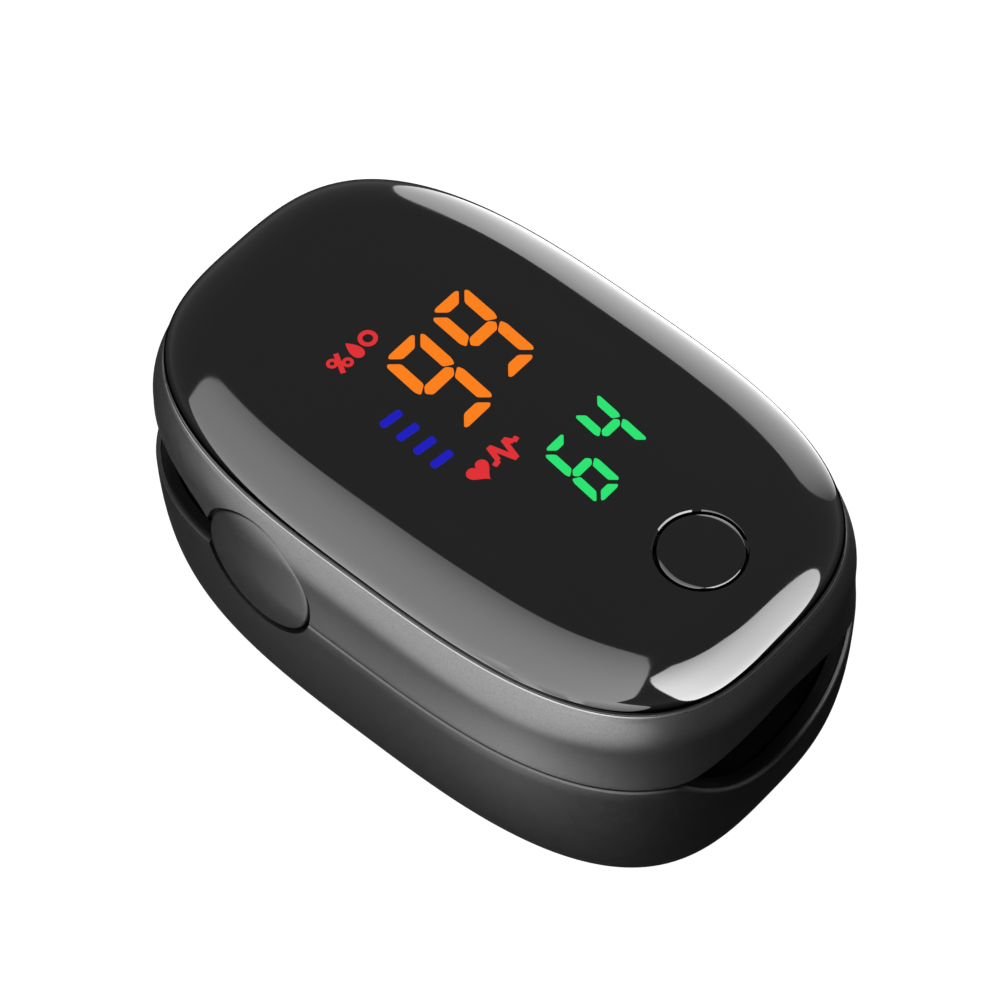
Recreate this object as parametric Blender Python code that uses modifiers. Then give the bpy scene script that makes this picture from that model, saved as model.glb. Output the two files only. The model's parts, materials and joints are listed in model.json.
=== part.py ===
"""Fingertip pulse oximeter, built from its separate pieces.

Two moulded halves turn about a cross axle near the rear. The lower half holds two AAA cells, the
light sensor and the lower finger pad, and is closed below by a sliding battery door. The upper half
holds the display, the circuit board, the push button and the upper finger pad under a glossy lens.

+X points to the finger opening, +Z up, and the origin is on the ground below the middle of the case.
Every size is in millimetres and is turned into metres where a mesh is made.
"""

import math

import bmesh
import bpy
from mathutils import Vector

MM = 0.001
GAP = 0.3                      # clearance between neighbouring pieces
FAR = 40.0                     # further than the case reaches, for the ends of cutting shapes

# Case outline at the seam under the lens: |x / a|^n + |y / b|^n = 1
SEAM_HALF_LENGTH = 30.0
SEAM_HALF_WIDTH = 18.12
OUTLINE_EXPONENT = 3.02
OUTLINE_POINTS = 44            # a multiple of four

# Heights of the case
MID_SEAM_Z = 16.9
TOP_SEAM_Z = 26.3
DOME_RISE = 3.27
DOME_CROWN = 0.35              # extra height of the middle of the lens over its flat edge
SEAM_GAP = 0.3

# Side profile: how far the surface stands out from the seam outline
BAND_SWELL = 1.12              # reached at BAND_SWELL_AT of the band's height, from the top
BAND_SWELL_AT = 0.43
BAND_FOOT = 1.40               # at the middle seam
BOWL_INSET = 4.17              # from the middle seam down to the flat bottom
BOWL_EXPONENT = 2.42
DOME_INSET = 5.71              # from the top seam in to the flat top
DOME_EXPONENT = 2.33

WALL = 1.3
LENS_WALL = 1.2
INNER_CLEARANCE = WALL + 0.45  # from the outer surface to a piece that fits inside a shell

# Hinge
PIVOT_X = -10.2
PIVOT_Z = 18.4
AXLE_RADIUS = 1.0
AXLE_HALF_LENGTH = 16.6
CAP_RADIUS = 6.1
CAP_INNER_Y = 16.9
EAR_RADIUS = 2.6
EYE_PROUD = 0.15               # the round eyes stand this far out of their arms
LOWER_EAR_Y = (14.2, 15.8)
UPPER_EAR_Y = (6.2, 7.8)
EAR_FOOT_HALF_LENGTH = 2.3
EAR_FOOT_Z = (14.6, 17.93)
ARM_X = (-16.0, -6.2)
ARM_Z = (19.93, 22.6)
COIL_RADIUS = 2.0
COIL_TURNS = 3.5
COIL_Y = (8.9, 13.1)
LEG_WIRE = 0.35

# Finger opening in the two shells, and the channel between the pads
ARCH_HALF_WIDTH = 10.7
ARCH_RISE = 3.1
DIP_HALF_WIDTH = 10.6
DIP_DEPTH = 6.1
CHANNEL_FLAT = 6.5             # half width of the channel's flat floor
CHANNEL_EDGE = 11.5            # half width where its sides meet the lips
LIP_BELOW = 16.6               # height of the lower pad's lips
LIP_ABOVE = 17.2
CHANNEL_FLOOR_DROP = 1.5
CHANNEL_CEILING_RISE = 3.1
SCOOP_START_X = 21.0
SCOOP_END_X = 30.0
SCOOP_DROP = 4.4
SCOOP_CURVE = 1.3
OPENING_START_X = 24.0         # where the arch and the dip begin in the front wall
PAD_REAR_X = -5.8
PAD_FRONT_X = 31.0
PAD_HALF_WIDTH = 11.6
PAD_THICKNESS = 1.2
FRAME_THICKNESS = 0.8
STOP_THICKNESS = 1.2           # the wall that a fingertip stops against
STOP_HALF_WIDTH = 11.0

# Open wedge behind the hinge, which closes as the jaws open
WEDGE_FRONT_X = -15.6
UPPER_EDGE_Z = 20.95           # the height that the upper edge rises to
UPPER_EDGE_RISE = 2.0
UPPER_EDGE_REACH = 2.6
LOWER_EDGE_DROP = 3.6
LOWER_EDGE_RUN = 15.8
LOWER_EDGE_CURVE = 0.78
SKIRT_FRONT_X = -16.75
SKIRT_TOP_Z = 21.4
SKIRT_THICKNESS = 0.8
SKIRT_FOOT_Z = 13.1
SKIRT_CLEARANCE = 0.35         # to the inside of the shells, at the skirt's top
SKIRT_LEAN = 0.05              # the clearance grows by this share of the depth below the top
FLAT_START_X = -16.0
FRAME_REAR_X = -30.0

# Batteries: two AAA cells side by side
CELL_RADIUS = 5.25
CELL_Y = 5.55
CELL_Z = 7.15
CELL_BODY = 43.5
NUB_RADIUS = 1.9
NUB_LENGTH = 1.0
BAY_REAR_X = -25.0
BAY_FRONT_X = 23.0
PLATE_THICKNESS = 0.3
BULKHEAD_FOOT_Z = 2.9
BULKHEAD_HALF_WIDTH = 7.9
BULKHEAD_THICKNESS = 1.1
FRONT_BULKHEAD_TOP_Z = 11.9    # each reaches up into the frame above it
REAR_BULKHEAD_TOP_Z = 13.3
CONTACT_Z = (3.4, 11.2)
SPRING_WIRE = 0.3
SPRING_RADII = (3.6, 2.2)      # at the plate and at the cell
SPRING_TURNS = 2.25

# Battery door
DOOR_HALF_WIDTH = 11.0
DOOR_FRONT_X = 20.0
DOOR_TOP_Z = 6.0
DOOR_RECESS = 0.2
HOOK_HALF_WIDTH = 1.4
HOOK_Z = (1.75, 2.5)
GROOVE_FIRST_X = -12.0
GROOVE_PITCH = 1.8
GROOVE_WIDTH = 0.8
GROOVE_DEPTH = 0.4
GROOVE_HALF_LENGTH = 4.5

# Screws
SCREW_HEAD_RADIUS = 1.25
SCREW_HEAD_HEIGHT = 0.7
SCREW_RADIUS = 0.7
SCREW_HOLE_RADIUS = 1.0
BOSS_RADIUS = 1.65
LOWER_SCREWS = ((16.0, 13.2), (16.0, -13.2), (-17.5, 13.0), (-17.5, -13.0))
UPPER_SCREWS = ((10.0, 15.2), (10.0, -15.2))
LOWER_SEAT_Z = 15.4             # where the screw heads sit
UPPER_SEAT_Z = 18.4
BOARD_SCREWS = ((15.5, 9.9), (15.5, -9.9), (-4.0, 11.0), (-4.0, -11.0))

# Board, display, button and the light path
BOARD_Z = (23.0, 24.0)
BOARD_REAR_X = -17.0
BOARD_INSET = 5.2
SHELF_INSET = 4.6
SHELF_THICKNESS = 1.4
SHELF_REAR_X = -17.0
BUTTON_X = 20.75
BUTTON_Y = 0.6
BUTTON_RADIUS = 3.6
BUTTON_HOLE_RADIUS = 3.95
SENSOR_X = 12.0
WINDOW_RADIUS = 2.6
LIGHT_HOLE_HALF = (2.4, 2.2)   # along x and y
LIGHT_PART_HALF = (1.6, 1.3)
FLEX_HALF_WIDTH = 1.6
FLEX_THICKNESS = 0.3

# Finishes: colour, roughness, metallic
GUNMETAL = ((0.075, 0.075, 0.08), 0.38, 0.85)
GLOSS_BLACK = ((0.008, 0.008, 0.009), 0.06, 0.0)
MATTE_BLACK = ((0.015, 0.015, 0.016), 0.6, 0.0)
SILICONE = ((0.012, 0.012, 0.013), 0.75, 0.0)
STEEL = ((0.55, 0.55, 0.56), 0.3, 1.0)
NICKEL = ((0.66, 0.64, 0.6), 0.28, 1.0)
BOARD_GREEN = ((0.02, 0.12, 0.05), 0.45, 0.0)
CHIP_BLACK = ((0.02, 0.02, 0.022), 0.5, 0.0)
CELL_FOIL = ((0.45, 0.33, 0.12), 0.35, 0.8)
DISPLAY_GREY = ((0.05, 0.05, 0.055), 0.5, 0.0)
CLEAR = ((0.8, 0.25, 0.22), 0.08, 0.0)
AMBER_FILM = ((0.5, 0.2, 0.03), 0.4, 0.0)


# ---------------------------------------------------------------- scene and helpers

def clear_scene():
    for item in list(bpy.data.objects):
        bpy.data.objects.remove(item, do_unlink=True)


def new_collection(name):
    collection = bpy.data.collections.new(name)
    bpy.context.scene.collection.children.link(collection)
    return collection


clear_scene()
PARTS = new_collection("pulse_oximeter")
CUTTERS = new_collection("cutters")


def give_finish(piece, finish):
    colour, roughness, metallic = finish
    material = bpy.data.materials.new(piece.name)
    material.use_nodes = True
    shader = material.node_tree.nodes["Principled BSDF"]
    shader.inputs["Base Color"].default_value = (*colour, 1.0)
    shader.inputs["Roughness"].default_value = roughness
    shader.inputs["Metallic"].default_value = metallic
    material.diffuse_color = (*colour, 1.0)
    piece.data.materials.clear()
    piece.data.materials.append(material)


def add_mesh(name, mesh):
    item = bpy.data.objects.new(name, mesh)
    PARTS.objects.link(item)
    return item


def park(tool):
    """Keep a cutting or joining shape out of the model."""
    for collection in list(tool.users_collection):
        collection.objects.unlink(tool)
    CUTTERS.objects.link(tool)
    tool.hide_render = True
    tool.display_type = "WIRE"


def combine(piece, tool, operation):
    modifier = piece.modifiers.new(f"{operation.lower()} {tool.name}", "BOOLEAN")
    modifier.operation = operation
    modifier.object = tool
    if tool.name not in CUTTERS.objects:
        park(tool)


def cut(piece, *tools):
    for tool in tools:
        combine(piece, tool, "DIFFERENCE")


def join(piece, *tools):
    for tool in tools:
        combine(piece, tool, "UNION")


def keep_inside(piece, tool):
    combine(piece, tool, "INTERSECT")


def thicken(piece, thickness, offset=-1.0):
    modifier = piece.modifiers.new("wall", "SOLIDIFY")
    modifier.thickness = thickness * MM
    modifier.offset = offset
    modifier.use_even_offset = True


def round_edges(piece, width, segments=1):
    modifier = piece.modifiers.new("rounded edges", "BEVEL")
    modifier.width = width * MM
    modifier.segments = segments
    modifier.limit_method = "ANGLE"
    modifier.angle_limit = math.radians(40)


def box(name, low, high):
    mesh = bpy.data.meshes.new(name)
    bm = bmesh.new()
    bmesh.ops.create_cube(bm, size=1.0)
    size = Vector(high) - Vector(low)
    middle = (Vector(high) + Vector(low)) / 2
    for vert in bm.verts:
        vert.co = Vector([vert.co[i] * size[i] * MM for i in range(3)])
    bm.to_mesh(mesh)
    bm.free()
    item = add_mesh(name, mesh)
    item.location = middle * MM
    return item


def cylinder(name, radius, start, end, sides=24):
    """A round bar from one point to another."""
    start = Vector(start)
    axis = Vector(end) - start
    mesh = bpy.data.meshes.new(name)
    bm = bmesh.new()
    bmesh.ops.create_cone(bm, cap_ends=True, segments=sides, radius1=radius * MM,
                          radius2=radius * MM, depth=axis.length * MM)
    bm.to_mesh(mesh)
    bm.free()
    mesh.shade_smooth()
    mesh.set_sharp_from_angle(angle=math.radians(35))
    item = add_mesh(name, mesh)
    item.location = (start + axis / 2) * MM
    item.rotation_euler = axis.to_track_quat("Z", "Y").to_euler()
    return item


def turned(name, profile, location, steps=20, direction=(0, 0, 1)):
    """A piece turned about its own axis from (radius, height) points, listed from the top down."""
    mesh = bpy.data.meshes.new(name)
    verts = [(radius * MM, 0.0, height * MM) for radius, height in profile]
    mesh.from_pydata(verts, [(i, i + 1) for i in range(len(verts) - 1)], [])
    item = add_mesh(name, mesh)
    item.location = Vector(location) * MM
    item.rotation_euler = Vector(direction).to_track_quat("Z", "Y").to_euler()
    modifier = item.modifiers.new("turn", "SCREW")
    modifier.steps = steps
    modifier.render_steps = steps
    modifier.use_merge_vertices = True
    modifier.merge_threshold = 1e-6
    return item


def prism(name, outline_points, plane, low, high):
    """A flat outline in the plane 'YZ' or 'XZ', extruded along the third axis."""
    mesh = bpy.data.meshes.new(name)
    bm = bmesh.new()
    if plane == "YZ":
        verts = [bm.verts.new((low * MM, a * MM, b * MM)) for a, b in outline_points]
        step = Vector(((high - low) * MM, 0, 0))
    else:
        verts = [bm.verts.new((a * MM, low * MM, b * MM)) for a, b in outline_points]
        step = Vector((0, (high - low) * MM, 0))
    face = bm.faces.new(verts)
    grown = bmesh.ops.extrude_face_region(bm, geom=[face])
    moved = [item for item in grown["geom"] if isinstance(item, bmesh.types.BMVert)]
    bmesh.ops.translate(bm, verts=moved, vec=step)
    bmesh.ops.recalc_face_normals(bm, faces=bm.faces)
    bm.to_mesh(mesh)
    bm.free()
    return add_mesh(name, mesh)


def loft(name, rings, cap_low=True, cap_high=True):
    """A skin through stacked rings of unlike outline, which no primitive makes."""
    mesh = bpy.data.meshes.new(name)
    bm = bmesh.new()
    rows = [[bm.verts.new(Vector(point) * MM) for point in ring] for ring in rings]
    count = len(rows[0])
    for low, high in zip(rows, rows[1:]):
        for i in range(count):
            j = (i + 1) % count
            bm.faces.new((low[i], low[j], high[j], high[i]))
    if cap_low:
        bm.faces.new(list(reversed(rows[0])))
    if cap_high:
        bm.faces.new(rows[-1])
    bm.to_mesh(mesh)
    bm.free()
    mesh.shade_smooth()
    mesh.set_sharp_from_angle(angle=math.radians(35))
    return add_mesh(name, mesh)


def sheet(name, height, xs, ys, thickness):
    """A slab of even upright thickness whose top is the surface z = height(x, y)."""
    mesh = bpy.data.meshes.new(name)
    bm = bmesh.new()
    rows = [[bm.verts.new(Vector((x, y, height(x, y) - thickness)) * MM) for y in ys] for x in xs]
    for near, far in zip(rows, rows[1:]):
        for i in range(len(ys) - 1):
            bm.faces.new((near[i], far[i], far[i + 1], near[i + 1]))
    grown = bmesh.ops.extrude_face_region(bm, geom=list(bm.faces))
    moved = [item for item in grown["geom"] if isinstance(item, bmesh.types.BMVert)]
    bmesh.ops.translate(bm, verts=moved, vec=Vector((0, 0, thickness * MM)))
    bmesh.ops.recalc_face_normals(bm, faces=bm.faces)
    bmesh.ops.triangulate(bm, faces=bm.faces)
    bm.to_mesh(mesh)
    bm.free()
    mesh.shade_smooth()
    mesh.set_sharp_from_angle(angle=math.radians(35))
    return add_mesh(name, mesh)


def wire(name, points, radius, smoothness=2):
    """A closed bar of round wire through the points."""
    curve = bpy.data.curves.new(name, "CURVE")
    curve.dimensions = "3D"
    curve.bevel_depth = radius * MM
    curve.bevel_resolution = smoothness
    curve.use_fill_caps = True
    spline = curve.splines.new("POLY")
    spline.points.add(len(points) - 1)
    for target, point in zip(spline.points, points):
        target.co = (*(Vector(point) * MM), 1.0)
    item = bpy.data.objects.new(name, curve)
    PARTS.objects.link(item)
    return item


def spread(low, high, count):
    return [low + (high - low) * i / (count - 1) for i in range(count)]


# ---------------------------------------------------------------- the case surface

def seam_quarter():
    """Points and outward normals of a quarter of the outline, evenly spaced along it."""
    samples = 400
    power = 2.0 / OUTLINE_EXPONENT
    fine = []
    for i in range(samples + 1):
        angle = math.pi / 2 * i / samples
        x = SEAM_HALF_LENGTH * max(math.cos(angle), 0.0) ** power
        y = SEAM_HALF_WIDTH * math.sin(angle) ** power
        fine.append(Vector((x, y)))
    lengths = [0.0]
    for a, b in zip(fine, fine[1:]):
        lengths.append(lengths[-1] + (b - a).length)
    quarter = []
    steps = OUTLINE_POINTS // 4
    at = 0
    for k in range(steps + 1):
        target = lengths[-1] * k / steps
        while at < samples - 1 and lengths[at + 1] < target:
            at += 1
        share = (target - lengths[at]) / (lengths[at + 1] - lengths[at])
        point = fine[at].lerp(fine[at + 1], share)
        gradient = Vector((
            (max(point.x, 0.0) / SEAM_HALF_LENGTH) ** (OUTLINE_EXPONENT - 1) / SEAM_HALF_LENGTH,
            (max(point.y, 0.0) / SEAM_HALF_WIDTH) ** (OUTLINE_EXPONENT - 1) / SEAM_HALF_WIDTH))
        quarter.append((point, gradient.normalized()))
    return quarter


QUARTER = seam_quarter()


def outline(offset):
    """The case outline moved outwards by offset, anticlockwise seen from above."""
    first = [point + normal * offset for point, normal in QUARTER]
    second = [Vector((-p.x, p.y)) for p in reversed(first[:-1])]
    half = first + second
    other = [Vector((-p.x, -p.y)) for p in half[1:-1]]
    return half + other


def ring(z, offset, scale=1.0):
    return [(p.x * scale, p.y * scale, z) for p in outline(offset)]


def quarter_round(share, exponent):
    """Inset share of a superelliptic quarter round at the given share of its height."""
    return 1.0 - (1.0 - min(share, 1.0) ** exponent) ** (1.0 / exponent)


def case_offset(z):
    """How far the outer surface stands out from the seam outline at height z."""
    if z > TOP_SEAM_Z:
        return -DOME_INSET * quarter_round((z - TOP_SEAM_Z) / DOME_RISE, DOME_EXPONENT)
    if z < MID_SEAM_Z:
        return BAND_FOOT - BOWL_INSET * quarter_round((MID_SEAM_Z - z) / MID_SEAM_Z, BOWL_EXPONENT)
    share = (TOP_SEAM_Z - z) / (TOP_SEAM_Z - MID_SEAM_Z)
    if share < BAND_SWELL_AT:
        return BAND_SWELL * math.sin(share / BAND_SWELL_AT * math.pi / 2)
    turn = (share - BAND_SWELL_AT) / (1 - BAND_SWELL_AT) * math.pi / 2
    return BAND_FOOT + (BAND_SWELL - BAND_FOOT) * math.cos(turn)


def round_heights(height, exponent, count):
    """Heights along a superelliptic quarter round, closer together where it turns."""
    return [height * math.sin(math.pi / 2 * i / (count - 1)) ** (2 / exponent) for i in range(count)]


BOWL_HEIGHTS = [MID_SEAM_Z - h for h in reversed(round_heights(MID_SEAM_Z, BOWL_EXPONENT, 7))]
BAND_HEIGHTS = spread(MID_SEAM_Z, TOP_SEAM_Z, 5)
DOME_HEIGHTS = [TOP_SEAM_Z + h for h in round_heights(DOME_RISE, DOME_EXPONENT, 6)]


def case_rings(heights, inset=0.0):
    return [ring(z, case_offset(z) - inset) for z in heights]


def crown_rings():
    """The nearly flat top of the lens, rising slightly to its middle."""
    top = TOP_SEAM_Z + DOME_RISE
    return [ring(top + DOME_CROWN * (1 - share ** 2), -DOME_INSET, share) for share in (0.66, 0.3)]


def case_volume(name, inset):
    """The whole case as one solid, for fitting other pieces to its surface."""
    heights = BOWL_HEIGHTS + BAND_HEIGHTS[1:] + DOME_HEIGHTS[1:]
    return loft(name, case_rings(heights, inset))


def parabola(half_width, height, z, count=13):
    return [(y, z + height * (1 - (y / half_width) ** 2))
            for y in spread(-half_width, half_width, count)]


def upper_rear_edge(x):
    """Height of the upper shell's lower edge behind the hinge."""
    return UPPER_EDGE_Z - UPPER_EDGE_RISE * math.exp((x - WEDGE_FRONT_X) / UPPER_EDGE_REACH)


def lower_rear_edge(x):
    """Height of the lower shell's upper edge behind the hinge."""
    share = (WEDGE_FRONT_X - x) / LOWER_EDGE_RUN
    return MID_SEAM_Z - LOWER_EDGE_DROP * max(share, 0.0) ** LOWER_EDGE_CURVE


WEDGE_XS = (WEDGE_FRONT_X, -16.6, -18.0, -20.0, -23.0, -27.0, -33.0)


def channel_share(y):
    """1 over the channel's flat floor, falling smoothly to 0 at its lips."""
    if abs(y) <= CHANNEL_FLAT:
        return 1.0
    turn = math.pi * min((abs(y) - CHANNEL_FLAT) / (CHANNEL_EDGE - CHANNEL_FLAT), 1.0)
    return 0.5 * (1 + math.cos(turn))


def channel_floor(x, y):
    """Height of the lower pad's top, scooped down towards the opening."""
    run = max(0.0, min(1.0, (x - SCOOP_START_X) / (SCOOP_END_X - SCOOP_START_X)))
    drop = CHANNEL_FLOOR_DROP + SCOOP_DROP * run ** SCOOP_CURVE
    return LIP_BELOW - drop * channel_share(y)


def channel_ceiling(x, y):
    """Height of the upper pad's underside."""
    return LIP_ABOVE + CHANNEL_CEILING_RISE * channel_share(y)


def seat_gap(surface, x, y):
    """Upright gap that leaves GAP across the surface, however steep it is."""
    step = 0.01
    along = (surface(x + step, y) - surface(x - step, y)) / (2 * step)
    across = (surface(x, y + step) - surface(x, y - step)) / (2 * step)
    return GAP * math.sqrt(1 + along ** 2 + across ** 2)


def lower_frame_top(x, y):
    """The lower frame under its pad; behind the hinge it flattens to the channel's own depth."""
    under_pad = channel_floor(x, y) - PAD_THICKNESS - seat_gap(channel_floor, x, y)
    flat = channel_floor(x, 0) - PAD_THICKNESS - GAP
    share = max(0.0, min(1.0, (FLAT_START_X - x) / (FLAT_START_X - FRAME_REAR_X)))
    return under_pad + (flat - under_pad) * share


def upper_frame_top(x, y):
    return (channel_ceiling(x, y) + PAD_THICKNESS + seat_gap(channel_ceiling, x, y)
            + FRAME_THICKNESS)


CHANNEL_YS = (-19.0, -14.0, -11.5, -9.8, -8.2, -6.5, -2.5, 2.5, 6.5, 8.2, 9.8, 11.5, 14.0, 19.0)
PAD_YS = (-11.6, -9.8, -8.2, -6.5, -2.5, 2.5, 6.5, 8.2, 9.8, 11.6)
SCOOP_XS = (21.0, 23.5, 26.0, 28.5, 32.0)


# ---------------------------------------------------------------- shared cutters

INSIDE = case_volume("inside_of_case", INNER_CLEARANCE)
OUTSIDE = case_volume("outside_of_case", 0.0)
park(INSIDE)
park(OUTSIDE)
CAP_RECESSES = [cylinder(f"cap_recess_{side}", CAP_RADIUS + GAP,
                         (PIVOT_X, side * (CAP_INNER_Y - GAP), PIVOT_Z), (PIVOT_X, side * FAR, PIVOT_Z), 36)
                for side in (-1, 1)]
AXLE_HOLE = cylinder("axle_hole", AXLE_RADIUS + GAP, (PIVOT_X, -AXLE_HALF_LENGTH - GAP, PIVOT_Z),
                     (PIVOT_X, AXLE_HALF_LENGTH + GAP, PIVOT_Z), 22)


def light_hole(name, low, high):
    """The hole that the light sensor or the emitter looks through."""
    along, across = LIGHT_HOLE_HALF
    return box(name, (SENSOR_X - along, -across, low), (SENSOR_X + along, across, high))


# ---------------------------------------------------------------- lower half

def make_lower_shell():
    heights = BOWL_HEIGHTS[:-1] + [MID_SEAM_Z - SEAM_GAP / 2]
    shell = loft("lower_shell", case_rings(heights), cap_high=False)
    thicken(shell, WALL)
    for i, (x, y) in enumerate(LOWER_SCREWS):
        join(shell, cylinder(f"lower_boss_{i}", BOSS_RADIUS, (x, y, 0.6), (x, y, 13.6), 16))
    for i, (x, y) in enumerate(LOWER_SCREWS):
        cut(shell, cylinder(f"lower_boss_hole_{i}", SCREW_HOLE_RADIUS, (x, y, 5.0), (x, y, 15.0), 12))
    dip = parabola(DIP_HALF_WIDTH, -DIP_DEPTH, MID_SEAM_Z)
    cut(shell, prism("finger_dip", [(-DIP_HALF_WIDTH, FAR), *dip, (DIP_HALF_WIDTH, FAR)], "YZ",
                     OPENING_START_X, FAR))
    rear = [(x, lower_rear_edge(x)) for x in WEDGE_XS]
    cut(shell, prism("rear_slope", [(WEDGE_FRONT_X, FAR), *rear, (WEDGE_XS[-1], FAR)], "XZ", -FAR, FAR))
    cut(shell, *CAP_RECESSES)
    cut(shell, box("door_opening", (-FAR, -DOOR_HALF_WIDTH - GAP, -FAR),
                   (DOOR_FRONT_X + GAP, DOOR_HALF_WIDTH + GAP, DOOR_TOP_Z + GAP)))
    give_finish(shell, GUNMETAL)
    return shell


def make_battery_door():
    heights = [DOOR_RECESS] + [z for z in BOWL_HEIGHTS if WALL < z < DOOR_TOP_Z + 3]
    door = loft("battery_door", case_rings(heights), cap_high=False)
    thicken(door, WALL)
    keep_inside(door, box("door_limits", (-FAR, -DOOR_HALF_WIDTH, -FAR),
                          (DOOR_FRONT_X, DOOR_HALF_WIDTH, DOOR_TOP_Z)))
    join(door, box("door_hook_riser", (DOOR_FRONT_X - 1.4, -HOOK_HALF_WIDTH, 1.0),
                   (DOOR_FRONT_X - 0.4, HOOK_HALF_WIDTH, HOOK_Z[1])),
         box("door_hook", (DOOR_FRONT_X - 1.2, -HOOK_HALF_WIDTH, HOOK_Z[0]),
             (DOOR_FRONT_X + 2.0, HOOK_HALF_WIDTH, HOOK_Z[1])))
    for i in range(4):
        x = GROOVE_FIRST_X + GROOVE_PITCH * i
        cut(door, box(f"grip_groove_{i}", (x, -GROOVE_HALF_LENGTH, -1),
                      (x + GROOVE_WIDTH, GROOVE_HALF_LENGTH, DOOR_RECESS + GROOVE_DEPTH)))
    give_finish(door, GUNMETAL)
    return door


def make_lower_frame():
    xs = [FRAME_REAR_X - 1, FRAME_REAR_X, FLAT_START_X, 0.0, 12.0, *SCOOP_XS]
    frame = sheet("lower_inner_frame", lower_frame_top, xs, CHANNEL_YS, FRAME_THICKNESS)
    keep_inside(frame, INSIDE)
    skirt_rings = []
    for z in spread(SKIRT_FOOT_Z, SKIRT_TOP_Z, 4):
        clearance = SKIRT_CLEARANCE + SKIRT_LEAN * (SKIRT_TOP_Z - z)
        skirt_rings.append(ring(z, case_offset(z) - WALL - clearance))
    skirt = loft("skirt", skirt_rings, cap_low=False, cap_high=False)
    thicken(skirt, SKIRT_THICKNESS)
    keep_inside(skirt, box("skirt_limits", (-FAR, -FAR, 0), (SKIRT_FRONT_X, FAR, FAR)))
    join(frame, skirt)
    for side in (-1, 1):
        low, high = sorted((side * LOWER_EAR_Y[0], side * LOWER_EAR_Y[1]))
        join(frame,
             box(f"ear_foot_{side}", (PIVOT_X - EAR_FOOT_HALF_LENGTH, low, EAR_FOOT_Z[0]),
                 (PIVOT_X + EAR_FOOT_HALF_LENGTH, high, EAR_FOOT_Z[1])),
             cylinder(f"ear_eye_{side}", EAR_RADIUS, (PIVOT_X, low - EYE_PROUD, PIVOT_Z),
                      (PIVOT_X, high + EYE_PROUD, PIVOT_Z)))
    front, rear = BAY_FRONT_X + GAP, BAY_REAR_X - GAP
    join(frame, box("front_bulkhead", (front, -BULKHEAD_HALF_WIDTH, BULKHEAD_FOOT_Z),
                    (front + BULKHEAD_THICKNESS, BULKHEAD_HALF_WIDTH, FRONT_BULKHEAD_TOP_Z)),
         box("rear_bulkhead", (rear - BULKHEAD_THICKNESS, -BULKHEAD_HALF_WIDTH, BULKHEAD_FOOT_Z),
             (rear, BULKHEAD_HALF_WIDTH, REAR_BULKHEAD_TOP_Z)))
    cut(frame, AXLE_HOLE, *CAP_RECESSES)
    cut(frame, light_hole("sensor_hole", 12, 14))
    cut(frame, box("flex_slot", (-20.0, -2.4, 12), (-14.0, 2.4, 14)))
    for i, (x, y) in enumerate(LOWER_SCREWS):
        cut(frame, cylinder(f"lower_screw_hole_{i}", SCREW_HOLE_RADIUS, (x, y, 13.8), (x, y, 16), 12))
    give_finish(frame, MATTE_BLACK)
    return frame


def make_lower_pad():
    xs = [PAD_REAR_X, 6.0, 14.0, *SCOOP_XS]
    pad = sheet("lower_finger_pad", channel_floor, xs, PAD_YS, PAD_THICKNESS)
    join(pad, box("lower_stop", (PAD_REAR_X + 0.02, -STOP_HALF_WIDTH, 15.6),
                  (PAD_REAR_X + STOP_THICKNESS, STOP_HALF_WIDTH, LIP_BELOW - 0.05)),
         box("lower_stop_foot", (PAD_REAR_X + 0.02, -7.0, 14.2),
             (PAD_REAR_X + STOP_THICKNESS, 7.0, 16.0)))
    keep_inside(pad, INSIDE)
    cut(pad, cylinder("sensor_window_hole", WINDOW_RADIUS + GAP, (SENSOR_X, 0, 13), (SENSOR_X, 0, 16)))
    give_finish(pad, SILICONE)
    return pad


def make_cell(name, y, nub_x, direction):
    """A cell whose terminal nub ends at nub_x and points along direction."""
    shoulder, foot = -NUB_LENGTH, -NUB_LENGTH - CELL_BODY
    profile = [(0, 0), (NUB_RADIUS, 0), (NUB_RADIUS, shoulder), (CELL_RADIUS - 0.6, shoulder),
               (CELL_RADIUS, shoulder - 0.5), (CELL_RADIUS, foot + 0.4), (CELL_RADIUS - 0.5, foot), (0, foot)]
    cell = turned(name, profile, (nub_x, y, CELL_Z), 20, (direction, 0, 0))
    give_finish(cell, CELL_FOIL)
    return cell


def make_battery_spring(name, y, plate_x, direction):
    """A conical coil that stands on a contact plate and presses on a cell's flat end."""
    per_turn = 12
    count = int(SPRING_TURNS * per_turn) + 1
    wide, narrow = SPRING_RADII
    points = []
    for i in range(count):
        share = i / (count - 1)
        radius = wide + (narrow - wide) * share
        angle = 2 * math.pi * SPRING_TURNS * share
        points.append((plate_x + direction * (0.65 + 1.4 * share),
                       y + radius * math.cos(angle), CELL_Z + radius * math.sin(angle)))
    spring = wire(name, points, SPRING_WIRE, 1)
    give_finish(spring, NICKEL)
    return spring


def make_battery_contacts():
    front = box("battery_bridge_plate", (BAY_FRONT_X - PLATE_THICKNESS, -9.4, CONTACT_Z[0]),
                (BAY_FRONT_X, 9.4, CONTACT_Z[1]))
    give_finish(front, NICKEL)
    for side, word in ((1, "left"), (-1, "right")):
        low, high = sorted((side * 1.0, side * 8.8))
        rear = box(f"battery_contact_{word}", (BAY_REAR_X, low, CONTACT_Z[0]),
                   (BAY_REAR_X + PLATE_THICKNESS, high, CONTACT_Z[1]))
        give_finish(rear, NICKEL)
    make_battery_spring("battery_spring_left", CELL_Y, BAY_FRONT_X - PLATE_THICKNESS, -1)
    make_battery_spring("battery_spring_right", -CELL_Y, BAY_REAR_X + PLATE_THICKNESS, 1)
    make_cell("battery_cell_left", CELL_Y, BAY_REAR_X + PLATE_THICKNESS + GAP, -1)
    make_cell("battery_cell_right", -CELL_Y, BAY_FRONT_X - PLATE_THICKNESS - GAP, 1)


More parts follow.
